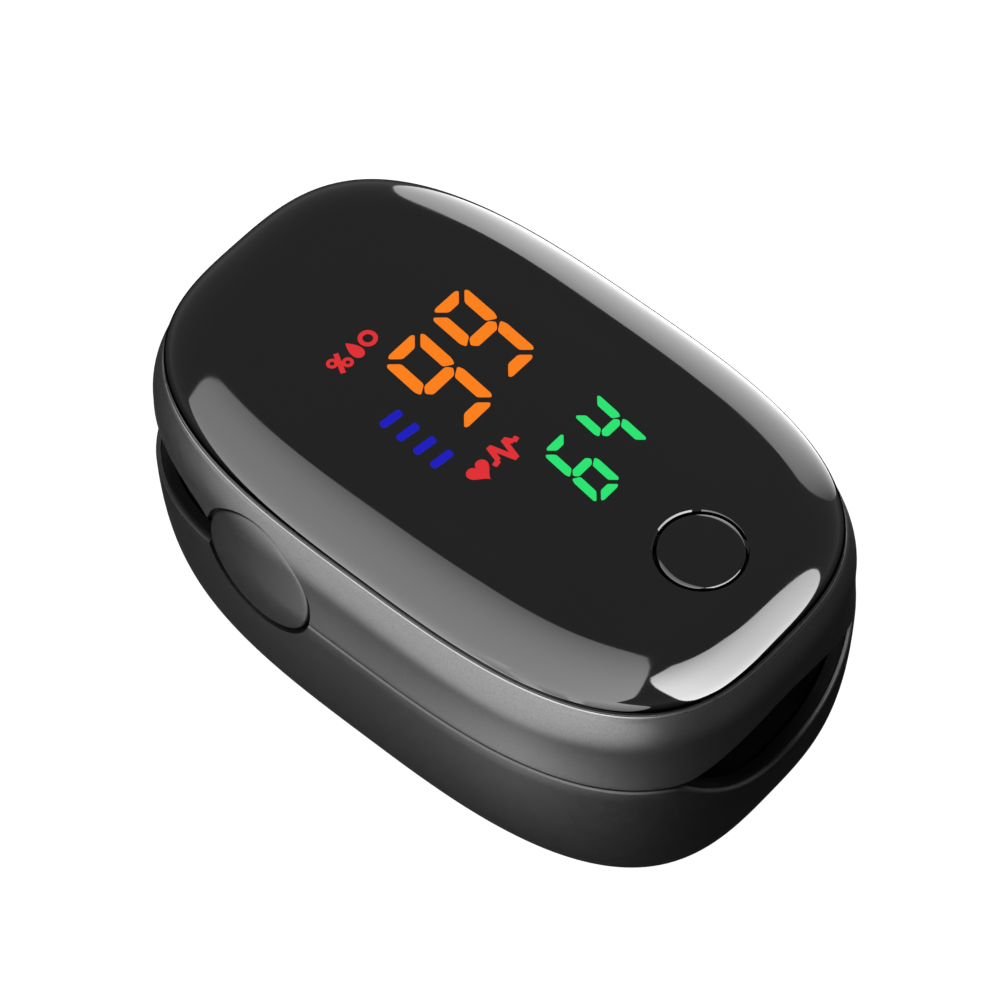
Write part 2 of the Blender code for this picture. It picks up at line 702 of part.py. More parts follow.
def make_sensor():
    board = box("sensor_board", (SENSOR_X - 4, -1.8, 11.5), (SENSOR_X + 4, 1.8, 12.1))
    give_finish(board, BOARD_GREEN)
    along, across = LIGHT_PART_HALF
    diode = box("photodiode", (SENSOR_X - along, -across, 12.4), (SENSOR_X + along, across, 13.4))
    round_edges(diode, 0.15)
    give_finish(diode, CHIP_BLACK)
    window = cylinder("sensor_window", WINDOW_RADIUS, (SENSOR_X, 0, 13.8), (SENSOR_X, 0, 15.0))
    give_finish(window, CLEAR)


# ---------------------------------------------------------------- hinge

def make_axle():
    axle = cylinder("hinge_axle", AXLE_RADIUS, (PIVOT_X, -AXLE_HALF_LENGTH, PIVOT_Z),
                    (PIVOT_X, AXLE_HALF_LENGTH, PIVOT_Z), 20)
    give_finish(axle, STEEL)


def make_hinge_caps():
    """Round covers over the axle's ends, flush with the sides of the case."""
    for side, word in ((1, "left"), (-1, "right")):
        cap = cylinder(f"hinge_cap_{word}", CAP_RADIUS, (PIVOT_X, side * CAP_INNER_Y, PIVOT_Z),
                       (PIVOT_X, side * FAR, PIVOT_Z), 36)
        keep_inside(cap, OUTSIDE)
        give_finish(cap, GUNMETAL)


def make_torsion_springs():
    """A coil round the axle on each side, whose two legs press the rear ends of the jaws apart."""
    per_turn = 12
    inner, outer = COIL_Y
    for side, word in ((1, "left"), (-1, "right")):
        points = [(-17.2, side * inner, 15.75), (-14.0, side * inner, 16.0)]
        # The coil runs from straight down, round the front, to straight up after its whole turns
        count = int(COIL_TURNS * per_turn) + 1
        for i in range(count):
            share = i / (count - 1)
            angle = -math.pi / 2 + 2 * math.pi * COIL_TURNS * share
            points.append((PIVOT_X + COIL_RADIUS * math.cos(angle), side * (inner + (outer - inner) * share),
                           PIVOT_Z + COIL_RADIUS * math.sin(angle)))
        points += [(-13.2, side * outer, 20.7), (-15.6, side * outer, 21.05)]
        spring = wire(f"torsion_spring_{word}", points, LEG_WIRE, 1)
        give_finish(spring, STEEL)


def make_flex_cable():
    """A flat lead from the sensor board, between the cells, up behind the axle to the main board."""
    corners = [(7.6, 11.8), (-12.5, 11.8), (-15.8, 12.0), (-18.4, 14.8), (-19.2, 19.0), (-19.0, 22.2),
               (-17.6, 23.5)]
    mesh = bpy.data.meshes.new("flex_cable")
    bm = bmesh.new()
    rows = [[bm.verts.new(Vector((x, y, z)) * MM) for y in (-FLEX_HALF_WIDTH, FLEX_HALF_WIDTH)]
            for x, z in corners]
    for near, far in zip(rows, rows[1:]):
        bm.faces.new((near[0], near[1], far[1], far[0]))
    bm.to_mesh(mesh)
    bm.free()
    cable = add_mesh("flex_cable", mesh)
    thicken(cable, FLEX_THICKNESS, 0.0)
    give_finish(cable, AMBER_FILM)


# ---------------------------------------------------------------- upper half

def make_upper_shell():
    heights = [MID_SEAM_Z + SEAM_GAP / 2, *BAND_HEIGHTS[1:-1], TOP_SEAM_Z - SEAM_GAP / 2]
    shell = loft("upper_shell", case_rings(heights), cap_low=False, cap_high=False)
    thicken(shell, WALL)
    shelf_z = TOP_SEAM_Z - SEAM_GAP / 2 - 0.02
    shelf = loft("lens_shelf", [ring(z, -0.7) for z in (shelf_z - SHELF_THICKNESS, shelf_z)])
    window = loft("display_opening", [ring(z, -SHELF_INSET) for z in (MID_SEAM_Z, FAR)])
    cut(shelf, window, box("shelf_rear_limit", (-FAR, -FAR, 0), (SHELF_REAR_X, FAR, FAR)))
    join(shell, shelf)
    for i, (x, y) in enumerate(UPPER_SCREWS):
        join(shell, cylinder(f"upper_boss_{i}", BOSS_RADIUS, (x, y, 19.8), (x, y, 25.4), 16))
        cut(shell, cylinder(f"upper_boss_hole_{i}", SCREW_HOLE_RADIUS, (x, y, 19), (x, y, 24.6), 12))
    arch = parabola(ARCH_HALF_WIDTH, ARCH_RISE, MID_SEAM_Z)
    cut(shell, prism("finger_arch", [(ARCH_HALF_WIDTH, 0), (-ARCH_HALF_WIDTH, 0), *arch], "YZ",
                     OPENING_START_X, FAR))
    rear = [(x, upper_rear_edge(x)) for x in WEDGE_XS]
    cut(shell, prism("rear_rise", [(WEDGE_FRONT_X, 0), *rear, (WEDGE_XS[-1], 0)], "XZ", -FAR, FAR))
    cut(shell, *CAP_RECESSES)
    give_finish(shell, GUNMETAL)
    return shell


def make_lens():
    rings = [ring(TOP_SEAM_Z - 0.3, 0.0), *case_rings(DOME_HEIGHTS[1:]), *crown_rings()]
    lens = loft("top_lens", rings, cap_low=False)
    thicken(lens, LENS_WALL)
    cut(lens, box("lens_foot_limit", (-FAR, -FAR, 0), (FAR, FAR, TOP_SEAM_Z + SEAM_GAP / 2)))
    cut(lens, cylinder("button_hole", BUTTON_HOLE_RADIUS, (BUTTON_X, BUTTON_Y, 25),
                       (BUTTON_X, BUTTON_Y, FAR), 32))
    give_finish(lens, GLOSS_BLACK)
    return lens


def make_gasket():
    """The adhesive foam ring that holds the lens to the shelf."""
    gasket = loft("lens_gasket", [ring(z, -1.9) for z in (TOP_SEAM_Z + 0.15, TOP_SEAM_Z + 0.65)])
    cut(gasket, loft("gasket_opening", [ring(z, -SHELF_INSET + 0.3) for z in (MID_SEAM_Z, FAR)]),
        box("gasket_rear_limit", (-FAR, -FAR, 0), (SHELF_REAR_X, FAR, FAR)))
    give_finish(gasket, SILICONE)


def make_button():
    origin_z = 26.9
    profile = [(0.0, 2.76), (2.2, 2.76), (3.3, 2.7), (BUTTON_RADIUS, 2.45), (BUTTON_RADIUS, 1.1),
               (4.5, 1.1), (4.5, 0.5), (1.4, 0.5), (1.4, 0.0), (0.0, 0.0)]
    button = turned("power_button", profile, (BUTTON_X, BUTTON_Y, origin_z), 28)
    give_finish(button, GLOSS_BLACK)
    plunger = cylinder("switch_plunger", 1.05, (BUTTON_X, BUTTON_Y, 25.4), (BUTTON_X, BUTTON_Y, 26.55), 16)
    give_finish(plunger, CHIP_BLACK)
    half = 2.25
    body = box("switch_body", (BUTTON_X - half, BUTTON_Y - half, BOARD_Z[1] + GAP),
               (BUTTON_X + half, BUTTON_Y + half, 25.9))
    cut(body, cylinder("plunger_hole", 1.4, (BUTTON_X, BUTTON_Y, 24.7), (BUTTON_X, BUTTON_Y, 27), 16))
    give_finish(body, STEEL)


def make_board():
    board = loft("main_board", [ring(z, -BOARD_INSET) for z in BOARD_Z])
    cut(board, box("board_rear_limit", (-FAR, -FAR, 0), (BOARD_REAR_X, FAR, FAR)))
    for i, (x, y) in enumerate(BOARD_SCREWS):
        cut(board, cylinder(f"board_hole_{i}", SCREW_HOLE_RADIUS, (x, y, 22), (x, y, 25), 12))
    give_finish(board, BOARD_GREEN)
    chips = (("processor_chip", (15.0, 3.4), (19.2, 7.6), 0.9),
             ("driver_chip", (15.0, -7.6), (18.4, -4.0), 0.8),
             ("crystal_can", (-16.6, 5.0), (-15.6, 8.0), 0.9))
    for name, low, high, height in chips:
        chip = box(name, (*low, BOARD_Z[1] + GAP), (*high, BOARD_Z[1] + GAP + height))
        round_edges(chip, 0.12)
        give_finish(chip, CHIP_BLACK)


def make_display():
    display = box("display_module", (-15.2, -9.3, BOARD_Z[1] + GAP), (13.6, 9.3, 27.4))
    round_edges(display, 0.5, 2)
    give_finish(display, DISPLAY_GREY)


def make_upper_frame():
    frame = sheet("upper_inner_frame", upper_frame_top, [-7.4, 4.0, 12.0, 20.0, 31.0], CHANNEL_YS,
                  FRAME_THICKNESS)
    keep_inside(frame, INSIDE)
    for i, (x, y) in enumerate(BOARD_SCREWS):
        foot_z = upper_frame_top(x, abs(y) - BOSS_RADIUS) - FRAME_THICKNESS + 0.1
        join(frame, cylinder(f"board_boss_{i}", BOSS_RADIUS, (x, y, foot_z), (x, y, BOARD_Z[0] - GAP), 16))
    for side in (-1, 1):
        low, high = sorted((side * UPPER_EAR_Y[0], side * UPPER_EAR_Y[1]))
        join(frame,
             box(f"arm_{side}", (ARM_X[0], low, ARM_Z[0]), (ARM_X[1], high, ARM_Z[1])),
             cylinder(f"arm_eye_{side}", EAR_RADIUS, (PIVOT_X, low - EYE_PROUD, PIVOT_Z),
                      (PIVOT_X, high + EYE_PROUD, PIVOT_Z)))
    join(frame, box("spring_bar", (-15.8, -13.4, 21.5), (-14.2, 13.4, 22.45)))
    cut(frame, AXLE_HOLE, *CAP_RECESSES)
    cut(frame, light_hole("emitter_hole", 21, 23.5))
    for i, (x, y) in enumerate(BOARD_SCREWS):
        cut(frame, cylinder(f"board_boss_hole_{i}", SCREW_HOLE_RADIUS, (x, y, 20.8), (x, y, 24), 12))
    for i, (x, y) in enumerate(UPPER_SCREWS):
        cut(frame, cylinder(f"upper_screw_hole_{i}", SCREW_HOLE_RADIUS, (x, y, 18), (x, y, 20.5), 12))
    give_finish(frame, MATTE_BLACK)
    return frame


def make_upper_pad():
    pad = sheet("upper_finger_pad", lambda x, y: channel_ceiling(x, y) + PAD_THICKNESS,
                [PAD_REAR_X, 6.0, 18.0, PAD_FRONT_X], PAD_YS, PAD_THICKNESS)
    join(pad, box("upper_stop", (PAD_REAR_X + 0.02, -STOP_HALF_WIDTH, LIP_ABOVE + 0.05),
                  (PAD_REAR_X + STOP_THICKNESS, STOP_HALF_WIDTH, 18.2)),
         box("upper_stop_head", (PAD_REAR_X + 0.02, -7.0, 18.0),
             (PAD_REAR_X + STOP_THICKNESS, 7.0, 21.2)))
    keep_inside(pad, INSIDE)
    cut(pad, cylinder("emitter_window_hole", WINDOW_RADIUS + GAP, (SENSOR_X, 0, 19.5), (SENSOR_X, 0, 22.5)))
    give_finish(pad, SILICONE)


def make_emitter():
    window = cylinder("emitter_window", WINDOW_RADIUS, (SENSOR_X, 0, 20.4), (SENSOR_X, 0, 21.5))
    give_finish(window, CLEAR)
    along, across = LIGHT_PART_HALF
    led = box("emitter_led", (SENSOR_X - along, -across, 21.85), (SENSOR_X + along, across, 22.7))
    round_edges(led, 0.15)
    give_finish(led, CLEAR)


# ---------------------------------------------------------------- screws

def make_screws(stem, places, seat_z, direction, length):
    """Pan head screws, whose heads sit on seat_z and whose shanks run away from it."""
    head = SCREW_HEAD_HEIGHT
    profile = [(0, head), (SCREW_HEAD_RADIUS - 0.3, head), (SCREW_HEAD_RADIUS, head * 0.5),
               (SCREW_HEAD_RADIUS, 0), (SCREW_RADIUS, 0), (SCREW_RADIUS, -length), (0, -length)]
    for i, (x, y) in enumerate(places):
        screw = turned(f"{stem}_{i + 1}", profile, (x, y, seat_z), 12, (0, 0, direction))
        give_finish(screw, STEEL)


make_lower_shell()
make_battery_door()
make_lower_frame()
make_lower_pad()
make_battery_contacts()
make_sensor()
make_axle()
make_hinge_caps()
make_torsion_springs()
make_flex_cable()
make_upper_shell()
make_lens()
make_gasket()
make_button()
make_board()
make_display()
make_upper_frame()
make_upper_pad()
make_emitter()
make_screws("lower_case_screw", LOWER_SCREWS, LOWER_SEAT_Z, 1, 5.4)
make_screws("upper_case_screw", UPPER_SCREWS, UPPER_SEAT_Z, -1, 5.0)
make_screws("board_screw", BOARD_SCREWS, BOARD_Z[1] + GAP, 1, 3.2)
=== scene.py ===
"""The looks of a fingertip pulse oximeter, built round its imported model.

Lengths in this script are in millimetres, and MM turns them into metres where a mesh is made.
+X points to the finger opening and +Z up. The seam outline, the button and the hinge come from the
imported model, so the fine shells here follow the solids that they stand for.
"""

import json
import math

import bmesh
import bpy
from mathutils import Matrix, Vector


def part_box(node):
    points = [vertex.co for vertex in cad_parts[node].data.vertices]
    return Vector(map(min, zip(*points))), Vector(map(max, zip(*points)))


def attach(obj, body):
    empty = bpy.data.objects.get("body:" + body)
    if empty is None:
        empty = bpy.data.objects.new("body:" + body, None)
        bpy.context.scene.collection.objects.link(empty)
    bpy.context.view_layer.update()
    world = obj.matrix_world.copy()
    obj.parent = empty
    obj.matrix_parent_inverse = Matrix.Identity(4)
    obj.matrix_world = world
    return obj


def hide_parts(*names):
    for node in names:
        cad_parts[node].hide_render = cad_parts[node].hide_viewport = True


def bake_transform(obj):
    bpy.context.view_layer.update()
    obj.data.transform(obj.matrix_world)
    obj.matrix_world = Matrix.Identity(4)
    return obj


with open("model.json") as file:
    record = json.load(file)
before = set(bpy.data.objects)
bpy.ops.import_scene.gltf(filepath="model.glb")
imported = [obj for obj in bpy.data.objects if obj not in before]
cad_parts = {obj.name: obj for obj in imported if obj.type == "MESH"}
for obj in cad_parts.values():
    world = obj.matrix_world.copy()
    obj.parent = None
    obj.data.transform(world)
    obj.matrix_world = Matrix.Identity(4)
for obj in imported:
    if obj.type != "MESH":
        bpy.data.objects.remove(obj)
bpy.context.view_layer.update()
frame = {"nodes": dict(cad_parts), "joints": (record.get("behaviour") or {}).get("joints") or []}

MM = 0.001


def node_box(node):
    """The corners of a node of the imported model, in millimetres."""
    low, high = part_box(node)
    return low / MM, high / MM


# ---------------------------------------------------------------- sizes

LENS_LOW, LENS_HIGH = node_box("top_lens")
BUTTON_LOW, BUTTON_HIGH = node_box("power_button")
DOOR_LOW, DOOR_HIGH = node_box("battery_door")
WINDOW_LOW, WINDOW_HIGH = node_box("sensor_window")
EMITTER_LOW, EMITTER_HIGH = node_box("emitter_window")

# The case: a superellipse outline at the top seam, and how far each wall stands out from it
SEAM_HALF_LENGTH = LENS_HIGH.x
SEAM_HALF_WIDTH = LENS_HIGH.y
TOP_SEAM_Z = (LENS_LOW.z + node_box("upper_shell")[1].z) / 2
MID_SEAM_Z = 16.9
OUTLINE_EXPONENT = 3.02
OUTLINE_POINTS = 256
BAND_SWELL = 1.12
BAND_SWELL_AT = 0.43
BAND_FOOT = 1.40
BOWL_INSET = 4.17
BOWL_EXPONENT = 2.42

# The lens, and the lit marks that stand just proud of it
DOME_RISE = 3.27
LIT_LIFT = 0.02
LIT_DEPTH = 0.12
DOME_CROWN = LENS_HIGH.z - TOP_SEAM_Z - DOME_RISE - LIT_LIFT
DOME_INSET = 5.71
DOME_EXPONENT = 2.33
DOME_Z = TOP_SEAM_Z + DOME_RISE

WALL = 1.3
LENS_WALL = 1.2
SEAM_HALF_GAP = 0.12
EDGE_RADIUS = 0.22
LIP_THICKNESS = 0.42
REBATE_DEPTH = 0.9
RIM_RADIUS = 0.11

HINGE = next(joint for joint in frame["joints"] if joint["name"] == "jaw_hinge")
PIVOT_X = HINGE["pos_m"][0] / MM
PIVOT_Z = HINGE["pos_m"][2] / MM
CAP_BACK_Y = -node_box("hinge_cap_right")[1].y
CAP_RADIUS = 5.9
CAP_EDGE = 0.2
CAP_CROWN = 0.3
CAP_SUNK = 0.14
RECESS_RADIUS = 6.28
RECESS_FLOOR_Y = 16.0

BUTTON_X = (BUTTON_LOW.x + BUTTON_HIGH.x) / 2
BUTTON_Y = (BUTTON_LOW.y + BUTTON_HIGH.y) / 2
BUTTON_RADIUS = 3.62
BUTTON_FLANGE = 4.45
BUTTON_STEM = 1.4
BUTTON_HOLE_RADIUS = 3.88
SENSOR_X = (WINDOW_LOW.x + WINDOW_HIGH.x) / 2
WINDOW_RADIUS = (WINDOW_HIGH.x - WINDOW_LOW.x) / 2

# The finger opening in front and the wedge behind the hinge
ARCH_HALF_WIDTH = 10.7
ARCH_RISE = 3.1
DIP_HALF_WIDTH = 11.2
DIP_DEPTH = 6.1
OPENING_START_X = 22.0
OPENING_BLEND = 4.0
HUMP_BLEND = 0.49
WEDGE_FRONT_X = -15.6
WEDGE_MOUTH = 3.0
UPPER_EDGE_Z = 20.95
UPPER_EDGE_RISE = 2.0
UPPER_EDGE_REACH = 2.6
LOWER_EDGE_DROP = 3.6
LOWER_EDGE_RUN = 15.8
LOWER_EDGE_CURVE = 0.78

DOOR_FRONT_X = 20.0
DOOR_CORNER = 1.6
DOOR_GAP = 0.18
GROOVE_COUNT = 6
GROOVE_START_X = -13.5
GROOVE_PITCH = 1.9
GROOVE_WIDTH = 0.9

# The rear skirt, a wall inside the wedge
SKIRT_START_X = -16.2
SKIRT_LOW_Z = 13.2
SKIRT_HIGH_Z = node_box("lower_inner_frame")[1].z
SKIRT_OUTER = 0.30
SKIRT_INNER = 1.18
SKIRT_TAPER = 0.05

# The finger pads
CHANNEL_FLAT = 6.5
CHANNEL_EDGE = 11.5
LIP_BELOW = 16.6
LIP_ABOVE = 17.2
FLOOR_DROP = 1.5
CEILING_RISE = 3.1
SCOOP_START_X = 21.0
SCOOP_END_X = 30.0
SCOOP_DROP = 4.4
PAD_THICKNESS = 1.2
PAD_HALF_WIDTH = 11.6
PAD_REAR_X = -5.8
PAD_RIB_HEIGHT = 0.10
PAD_RIB_PITCH = 2.4

# Screws and springs
HEAD_HEIGHT = 0.7
THREAD_RADIUS = 0.7
THREAD_PITCH = 0.45
SLOT_HALF_WIDTH = 0.13
SLOT_DEPTH = 0.4
CELL_Y = 5.55
CELL_Z = 7.15
CONE_TURNS = 2.25
CONE_RADIUS = 3.6
CONE_TAPER = 1.4
CONE_REACH = 1.37
COIL_TURNS = 3.5
COIL_RADIUS = 2.0
COIL_START_Y = 8.9
COIL_RUN = 4.2
FLEX_HALF_WIDTH = 1.6
FLEX_HALF_THICKNESS = 0.14

SMOOTH_ANGLE = 38


# ---------------------------------------------------------------- materials

class Graph:
    """A short way to write a material's node graph."""

    def __init__(self, name, **values):
        self.material = bpy.data.materials.new(name)
        self.material.use_nodes = True
        self.nodes = self.material.node_tree.nodes
        self.links = self.material.node_tree.links
        self.shader = self.nodes["Principled BSDF"]
        self.place = self.nodes.new("ShaderNodeTexCoord").outputs["Object"]
        for socket, value in values.items():
            self.shader.inputs[socket.replace("_", " ")].default_value = value

    def noise(self, scale, detail=3.0, roughness=0.5, stretch=None):
        node = self.nodes.new("ShaderNodeTexNoise")
        node.inputs["Scale"].default_value = scale
        node.inputs["Detail"].default_value = detail
        node.inputs["Roughness"].default_value = roughness
        place = self.place
        if stretch:
            mapping = self.nodes.new("ShaderNodeMapping")
            mapping.inputs["Scale"].default_value = stretch
            self.links.new(place, mapping.inputs["Vector"])
            place = mapping.outputs["Vector"]
        self.links.new(place, node.inputs["Vector"])
        return node.outputs["Fac"]

    def cells(self, scale):
        node = self.nodes.new("ShaderNodeTexVoronoi")
        node.inputs["Scale"].default_value = scale
        self.links.new(self.place, node.inputs["Vector"])
        return node.outputs["Distance"]

    def span(self, value, low, high, out_low, out_high):
        """Map value from one range to another."""
        node = self.nodes.new("ShaderNodeMapRange")
        for name, number in (("From Min", low), ("From Max", high),
                             ("To Min", out_low), ("To Max", out_high)):
            node.inputs[name].default_value = number
        self.links.new(value, node.inputs["Value"])
        return node.outputs["Result"]

    def colour(self, value, *stops):
        """Base colour by value, through (position, colour) stops."""
        node = self.nodes.new("ShaderNodeValToRGB")
        fill_ramp(node.color_ramp, stops)
        self.links.new(value, node.inputs["Fac"])
        self.links.new(node.outputs["Color"], self.shader.inputs["Base Color"])

    def mottle(self, value, dark, light):
        """Base colour that wanders between two shades."""
        self.colour(value, (0.3, dark), (0.7, light))

    def roughness(self, value, low, high, start=0.3):
        """Roughness that wanders between two values."""
        self.links.new(self.span(value, start, 0.7, low, high), self.shader.inputs["Roughness"])

    def bump(self, value, distance, strength=1.0):
        node = self.nodes.new("ShaderNodeBump")
        node.inputs["Distance"].default_value = distance * MM
        node.inputs["Strength"].default_value = strength
        self.links.new(value, node.inputs["Height"])
        self.links.new(node.outputs["Normal"], self.shader.inputs["Normal"])


def fill_ramp(ramp, stops):
    while len(ramp.elements) < len(stops):
        ramp.elements.new(0.5)
    for element, (position, colour) in zip(ramp.elements, stops):
        element.position = position
        element.color = (*colour, 1.0)


def lens_material():
    """Gloss black, with faint wiping marks that only change how sharp it reflects."""
    graph = Graph("lens_gloss_black", IOR=1.5, Specular_IOR_Level=0.65)
    graph.mottle(graph.noise(60, 2), (0.0012, 0.0012, 0.0014), (0.002, 0.002, 0.0022))
    graph.roughness(graph.noise(140, 4, 0.6, (1, 3, 1)), 0.035, 0.075, 0.35)
    return graph.material


def gunmetal_material(name, tone):
    """Satin metallic paint: fine flake sparkle, an even sheen and a faint orange peel."""
    graph = Graph(name, Metallic=0.9, Specular_IOR_Level=0.3)
    stops = []
    for position, level in ((0.0, 1.18 * tone), (0.45, tone), (0.9, 0.83 * tone)):
        stops.append((position, (level, level, 1.015 * level)))
    graph.colour(graph.cells(9000), *stops)
    graph.roughness(graph.noise(1300, 4, 0.6), 0.36, 0.40)
    graph.bump(graph.noise(5200, 2, 0.5), 0.004, 0.35)
    return graph.material


def moulded_material(name, shade, rough, grain=0.01):
    """Matte moulded plastic with a fine spark-eroded grain."""
    graph = Graph(name, Specular_IOR_Level=0.07)
    graph.mottle(graph.noise(240, 4), tuple(0.8 * channel for channel in shade), shade)
    graph.roughness(graph.noise(900, 3), rough - 0.06, rough + 0.06)
    graph.bump(graph.noise(4200, 3, 0.6), grain, 0.6)
    return graph.material


def silicone_material():
    """Soft black silicone: dusty sheen, a fine dry grain and slight handling shine."""
    graph = Graph("black_silicone", Specular_IOR_Level=0.035)
    graph.mottle(graph.noise(180, 5), (0.0012, 0.0012, 0.0013), (0.0022, 0.0022, 0.0024))
    graph.roughness(graph.noise(300, 4), 0.6, 0.78)
    graph.bump(graph.noise(3000, 4, 0.65), 0.012, 0.7)
    return graph.material


def metal_material(name, tint, rough, stretch=(1, 1, 1)):
    """Drawn or stamped metal, its brushing stretched along the stretch axes."""
    graph = Graph(name, Metallic=1.0)
    graph.mottle(graph.noise(700, 4, 0.6, stretch), tuple(0.82 * channel for channel in tint), tint)
    graph.roughness(graph.noise(1100, 4, 0.6, stretch), rough - 0.06, rough + 0.08)
    graph.bump(graph.noise(2600, 3, 0.6, stretch), 0.003, 0.4)
    return graph.material


def board_material():
    """Green solder mask over copper tracks."""
    graph = Graph("solder_mask", Coat_Weight=0.4, Coat_Roughness=0.2)
    tracks = graph.noise(900, 0, 0.0, (1, 0.12, 1))
    graph.colour(tracks, (0.44, (0.012, 0.075, 0.03)), (0.5, (0.02, 0.13, 0.05)), (0.56, (0.012, 0.07, 0.03)))
    graph.roughness(graph.noise(700, 3), 0.3, 0.42)
    graph.bump(tracks, 0.02, 0.5)
    return graph.material


def window_material():
    """Moulded window plastic, deep red and glossy."""
    graph = Graph("window_red_tint", Coat_Weight=0.6, Coat_Roughness=0.05, IOR=1.5)
    graph.mottle(graph.noise(300, 3), (0.20, 0.02, 0.018), (0.28, 0.035, 0.03))
    graph.roughness(graph.noise(700, 3), 0.06, 0.14)
    return graph.material


def film_material():
    """Amber polyimide film with lighter conductors running along it."""
    graph = Graph("amber_film", Coat_Weight=0.3, Coat_Roughness=0.15)
    lines = graph.noise(1400, 0, 0.0, (0.02, 1, 0.02))
    graph.colour(lines, (0.45, (0.42, 0.15, 0.02)), (0.55, (0.6, 0.27, 0.05)))
    graph.roughness(graph.noise(900, 3), 0.28, 0.4)
    return graph.material


def cell_material():
    """A cell's foil jacket: a copper coloured end over a dark body, with bare metal at both ends."""
    graph = Graph("cell_jacket", Metallic=0.75, Coat_Weight=0.5, Coat_Roughness=0.12)
    split = graph.nodes.new("ShaderNodeSeparateXYZ")
    graph.links.new(graph.place, split.inputs["Vector"])
    along = graph.span(split.outputs["Z"], -0.0445, 0.0, 0.0, 1.0)
    copper = (0.62, 0.30, 0.10)
    graph.colour(along, (0.0, (0.5, 0.5, 0.5)), (0.03, (0.02, 0.02, 0.022)), (0.68, (0.025, 0.025, 0.027)),
                 (0.70, copper), (0.955, copper), (0.965, (0.6, 0.6, 0.6)))
    graph.roughness(graph.noise(500, 4), 0.22, 0.34)
    return graph.material


def lit_material(name, colour, strength):
    """A lit display mark, with the gloss of the lens over it."""
    graph = Graph(name, Emission_Strength=strength, Roughness=0.08, Emission_Color=(*colour, 1.0))
    dark, light = (tuple(share * channel for channel in colour) for share in (0.03, 0.06))
    graph.mottle(graph.noise(1800, 2), dark, light)
    return graph.material


LENS = lens_material()
# One satin gunmetal paint at three tones: the band's copy is made lighter as painted light, and the bowl's
# and door's copy is made darker as painted shade. The caps keep the middle tone.
GUNMETAL = gunmetal_material("satin_gunmetal", 0.066)
LIT_BAND_GUNMETAL = gunmetal_material("satin_gunmetal_painted_light", 0.098)
SHADED_BOWL_GUNMETAL = gunmetal_material("satin_gunmetal_painted_shade", 0.057)
FRAME_BLACK = moulded_material("frame_black", (0.003, 0.003, 0.0032), 0.6)
HOUSING_GREY = moulded_material("housing_grey", (0.05, 0.05, 0.052), 0.5)
CHIP_BLACK = moulded_material("chip_black", (0.025, 0.025, 0.027), 0.45, 0.006)
SILICONE = silicone_material()
BRIGHT_EDGE = metal_material("polished_edge", (0.21, 0.21, 0.213), 0.3)
STEEL = metal_material("bright_steel", (0.62, 0.62, 0.63), 0.26)
NICKEL = metal_material("nickel_plate", (0.72, 0.69, 0.63), 0.24, (1, 0.2, 1))
BOARD = board_material()
WINDOW = window_material()
FILM = film_material()
JACKET = cell_material()
ORANGE_LIT = lit_material("lit_orange", (1.0, 0.215, 0.0), 0.95)
GREEN_LIT = lit_material("lit_green", (0.014, 0.78, 0.16), 0.97)
RED_LIT = lit_material("lit_red", (0.75, 0.02, 0.026), 0.97)
BLUE_LIT = lit_material("lit_blue", (0.002, 0.002, 0.50), 1.0)


# ---------------------------------------------------------------- mesh helpers

def dress(item, material, replaced):
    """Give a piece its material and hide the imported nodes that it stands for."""
    item.data.materials.clear()
    item.data.materials.append(material)
    if replaced:
        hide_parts(*replaced)


def finish_piece(item, material, body, slot, *replaced):
    """A piece that moves with one body."""
    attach(item, body)
    dress(item, material, replaced)
    return item


def finish_bending_piece(item, material, replaced):
    """A piece near the hinge that is attached to neither jaw: it is dressed and its transform is baked into
    its mesh.
    """
    dress(item, material, [replaced])
    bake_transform(item)


def add_mesh(name, mesh):
    item = bpy.data.objects.new(name, mesh)
    bpy.context.scene.collection.objects.link(item)
    return item


def smooth(mesh, angle=SMOOTH_ANGLE):
    mesh.shade_smooth()
    mesh.set_sharp_from_angle(angle=math.radians(angle))


def mesh_from(bm, name, angle=SMOOTH_ANGLE):
    bmesh.ops.recalc_face_normals(bm, faces=bm.faces)
    mesh = bpy.data.meshes.new(name)
    bm.to_mesh(mesh)
    bm.free()
    smooth(mesh, angle)
    return add_mesh(name, mesh)


def full_turn(count):
    return [2 * math.pi * i / count for i in range(count)]


def bridge(bm, rows, wrap=True):
    """Quads between each row of vertices and the next."""
    count = len(rows[0])
    for near, far in zip(rows, rows[1:]):
        for i in range(count if wrap else count - 1):
            j = (i + 1) % count
            bm.faces.new((near[i], near[j], far[j], far[i]))


def loft(name, rings, closed=False, angle=SMOOTH_ANGLE):
    """A skin through rings of equal count: capped at both ends, or closed back on itself."""
    bm = bmesh.new()
    rows = [[bm.verts.new(Vector(point) * MM) for point in ring] for ring in rings]
    if closed:
        bridge(bm, rows + rows[:1])
    else:
        bridge(bm, rows)
        bm.faces.new(list(reversed(rows[0])))
        bm.faces.new(rows[-1])
    return mesh_from(bm, name, angle)


def turned(name, profile, location, steps=64, direction=(0, 0, 1)):
    """A piece turned about its axis from (radius, height) points; both ends lie on the axis."""
    bm = bmesh.new()
    rows = []
    for radius, height in profile[1:-1]:
        rows.append([bm.verts.new(Vector((radius * math.cos(a), radius * math.sin(a), height)) * MM)
                     for a in full_turn(steps)])
    ends = [bm.verts.new(Vector((0, 0, profile[k][1])) * MM) for k in (0, -1)]
    bridge(bm, rows)
    for i in range(steps):
        j = (i + 1) % steps
        bm.faces.new((ends[0], rows[0][j], rows[0][i]))
        bm.faces.new((ends[1], rows[-1][i], rows[-1][j]))
    item = mesh_from(bm, name)
    item.location = Vector(location) * MM
    item.rotation_euler = Vector(direction).to_track_quat("Z", "Y").to_euler()
    return item


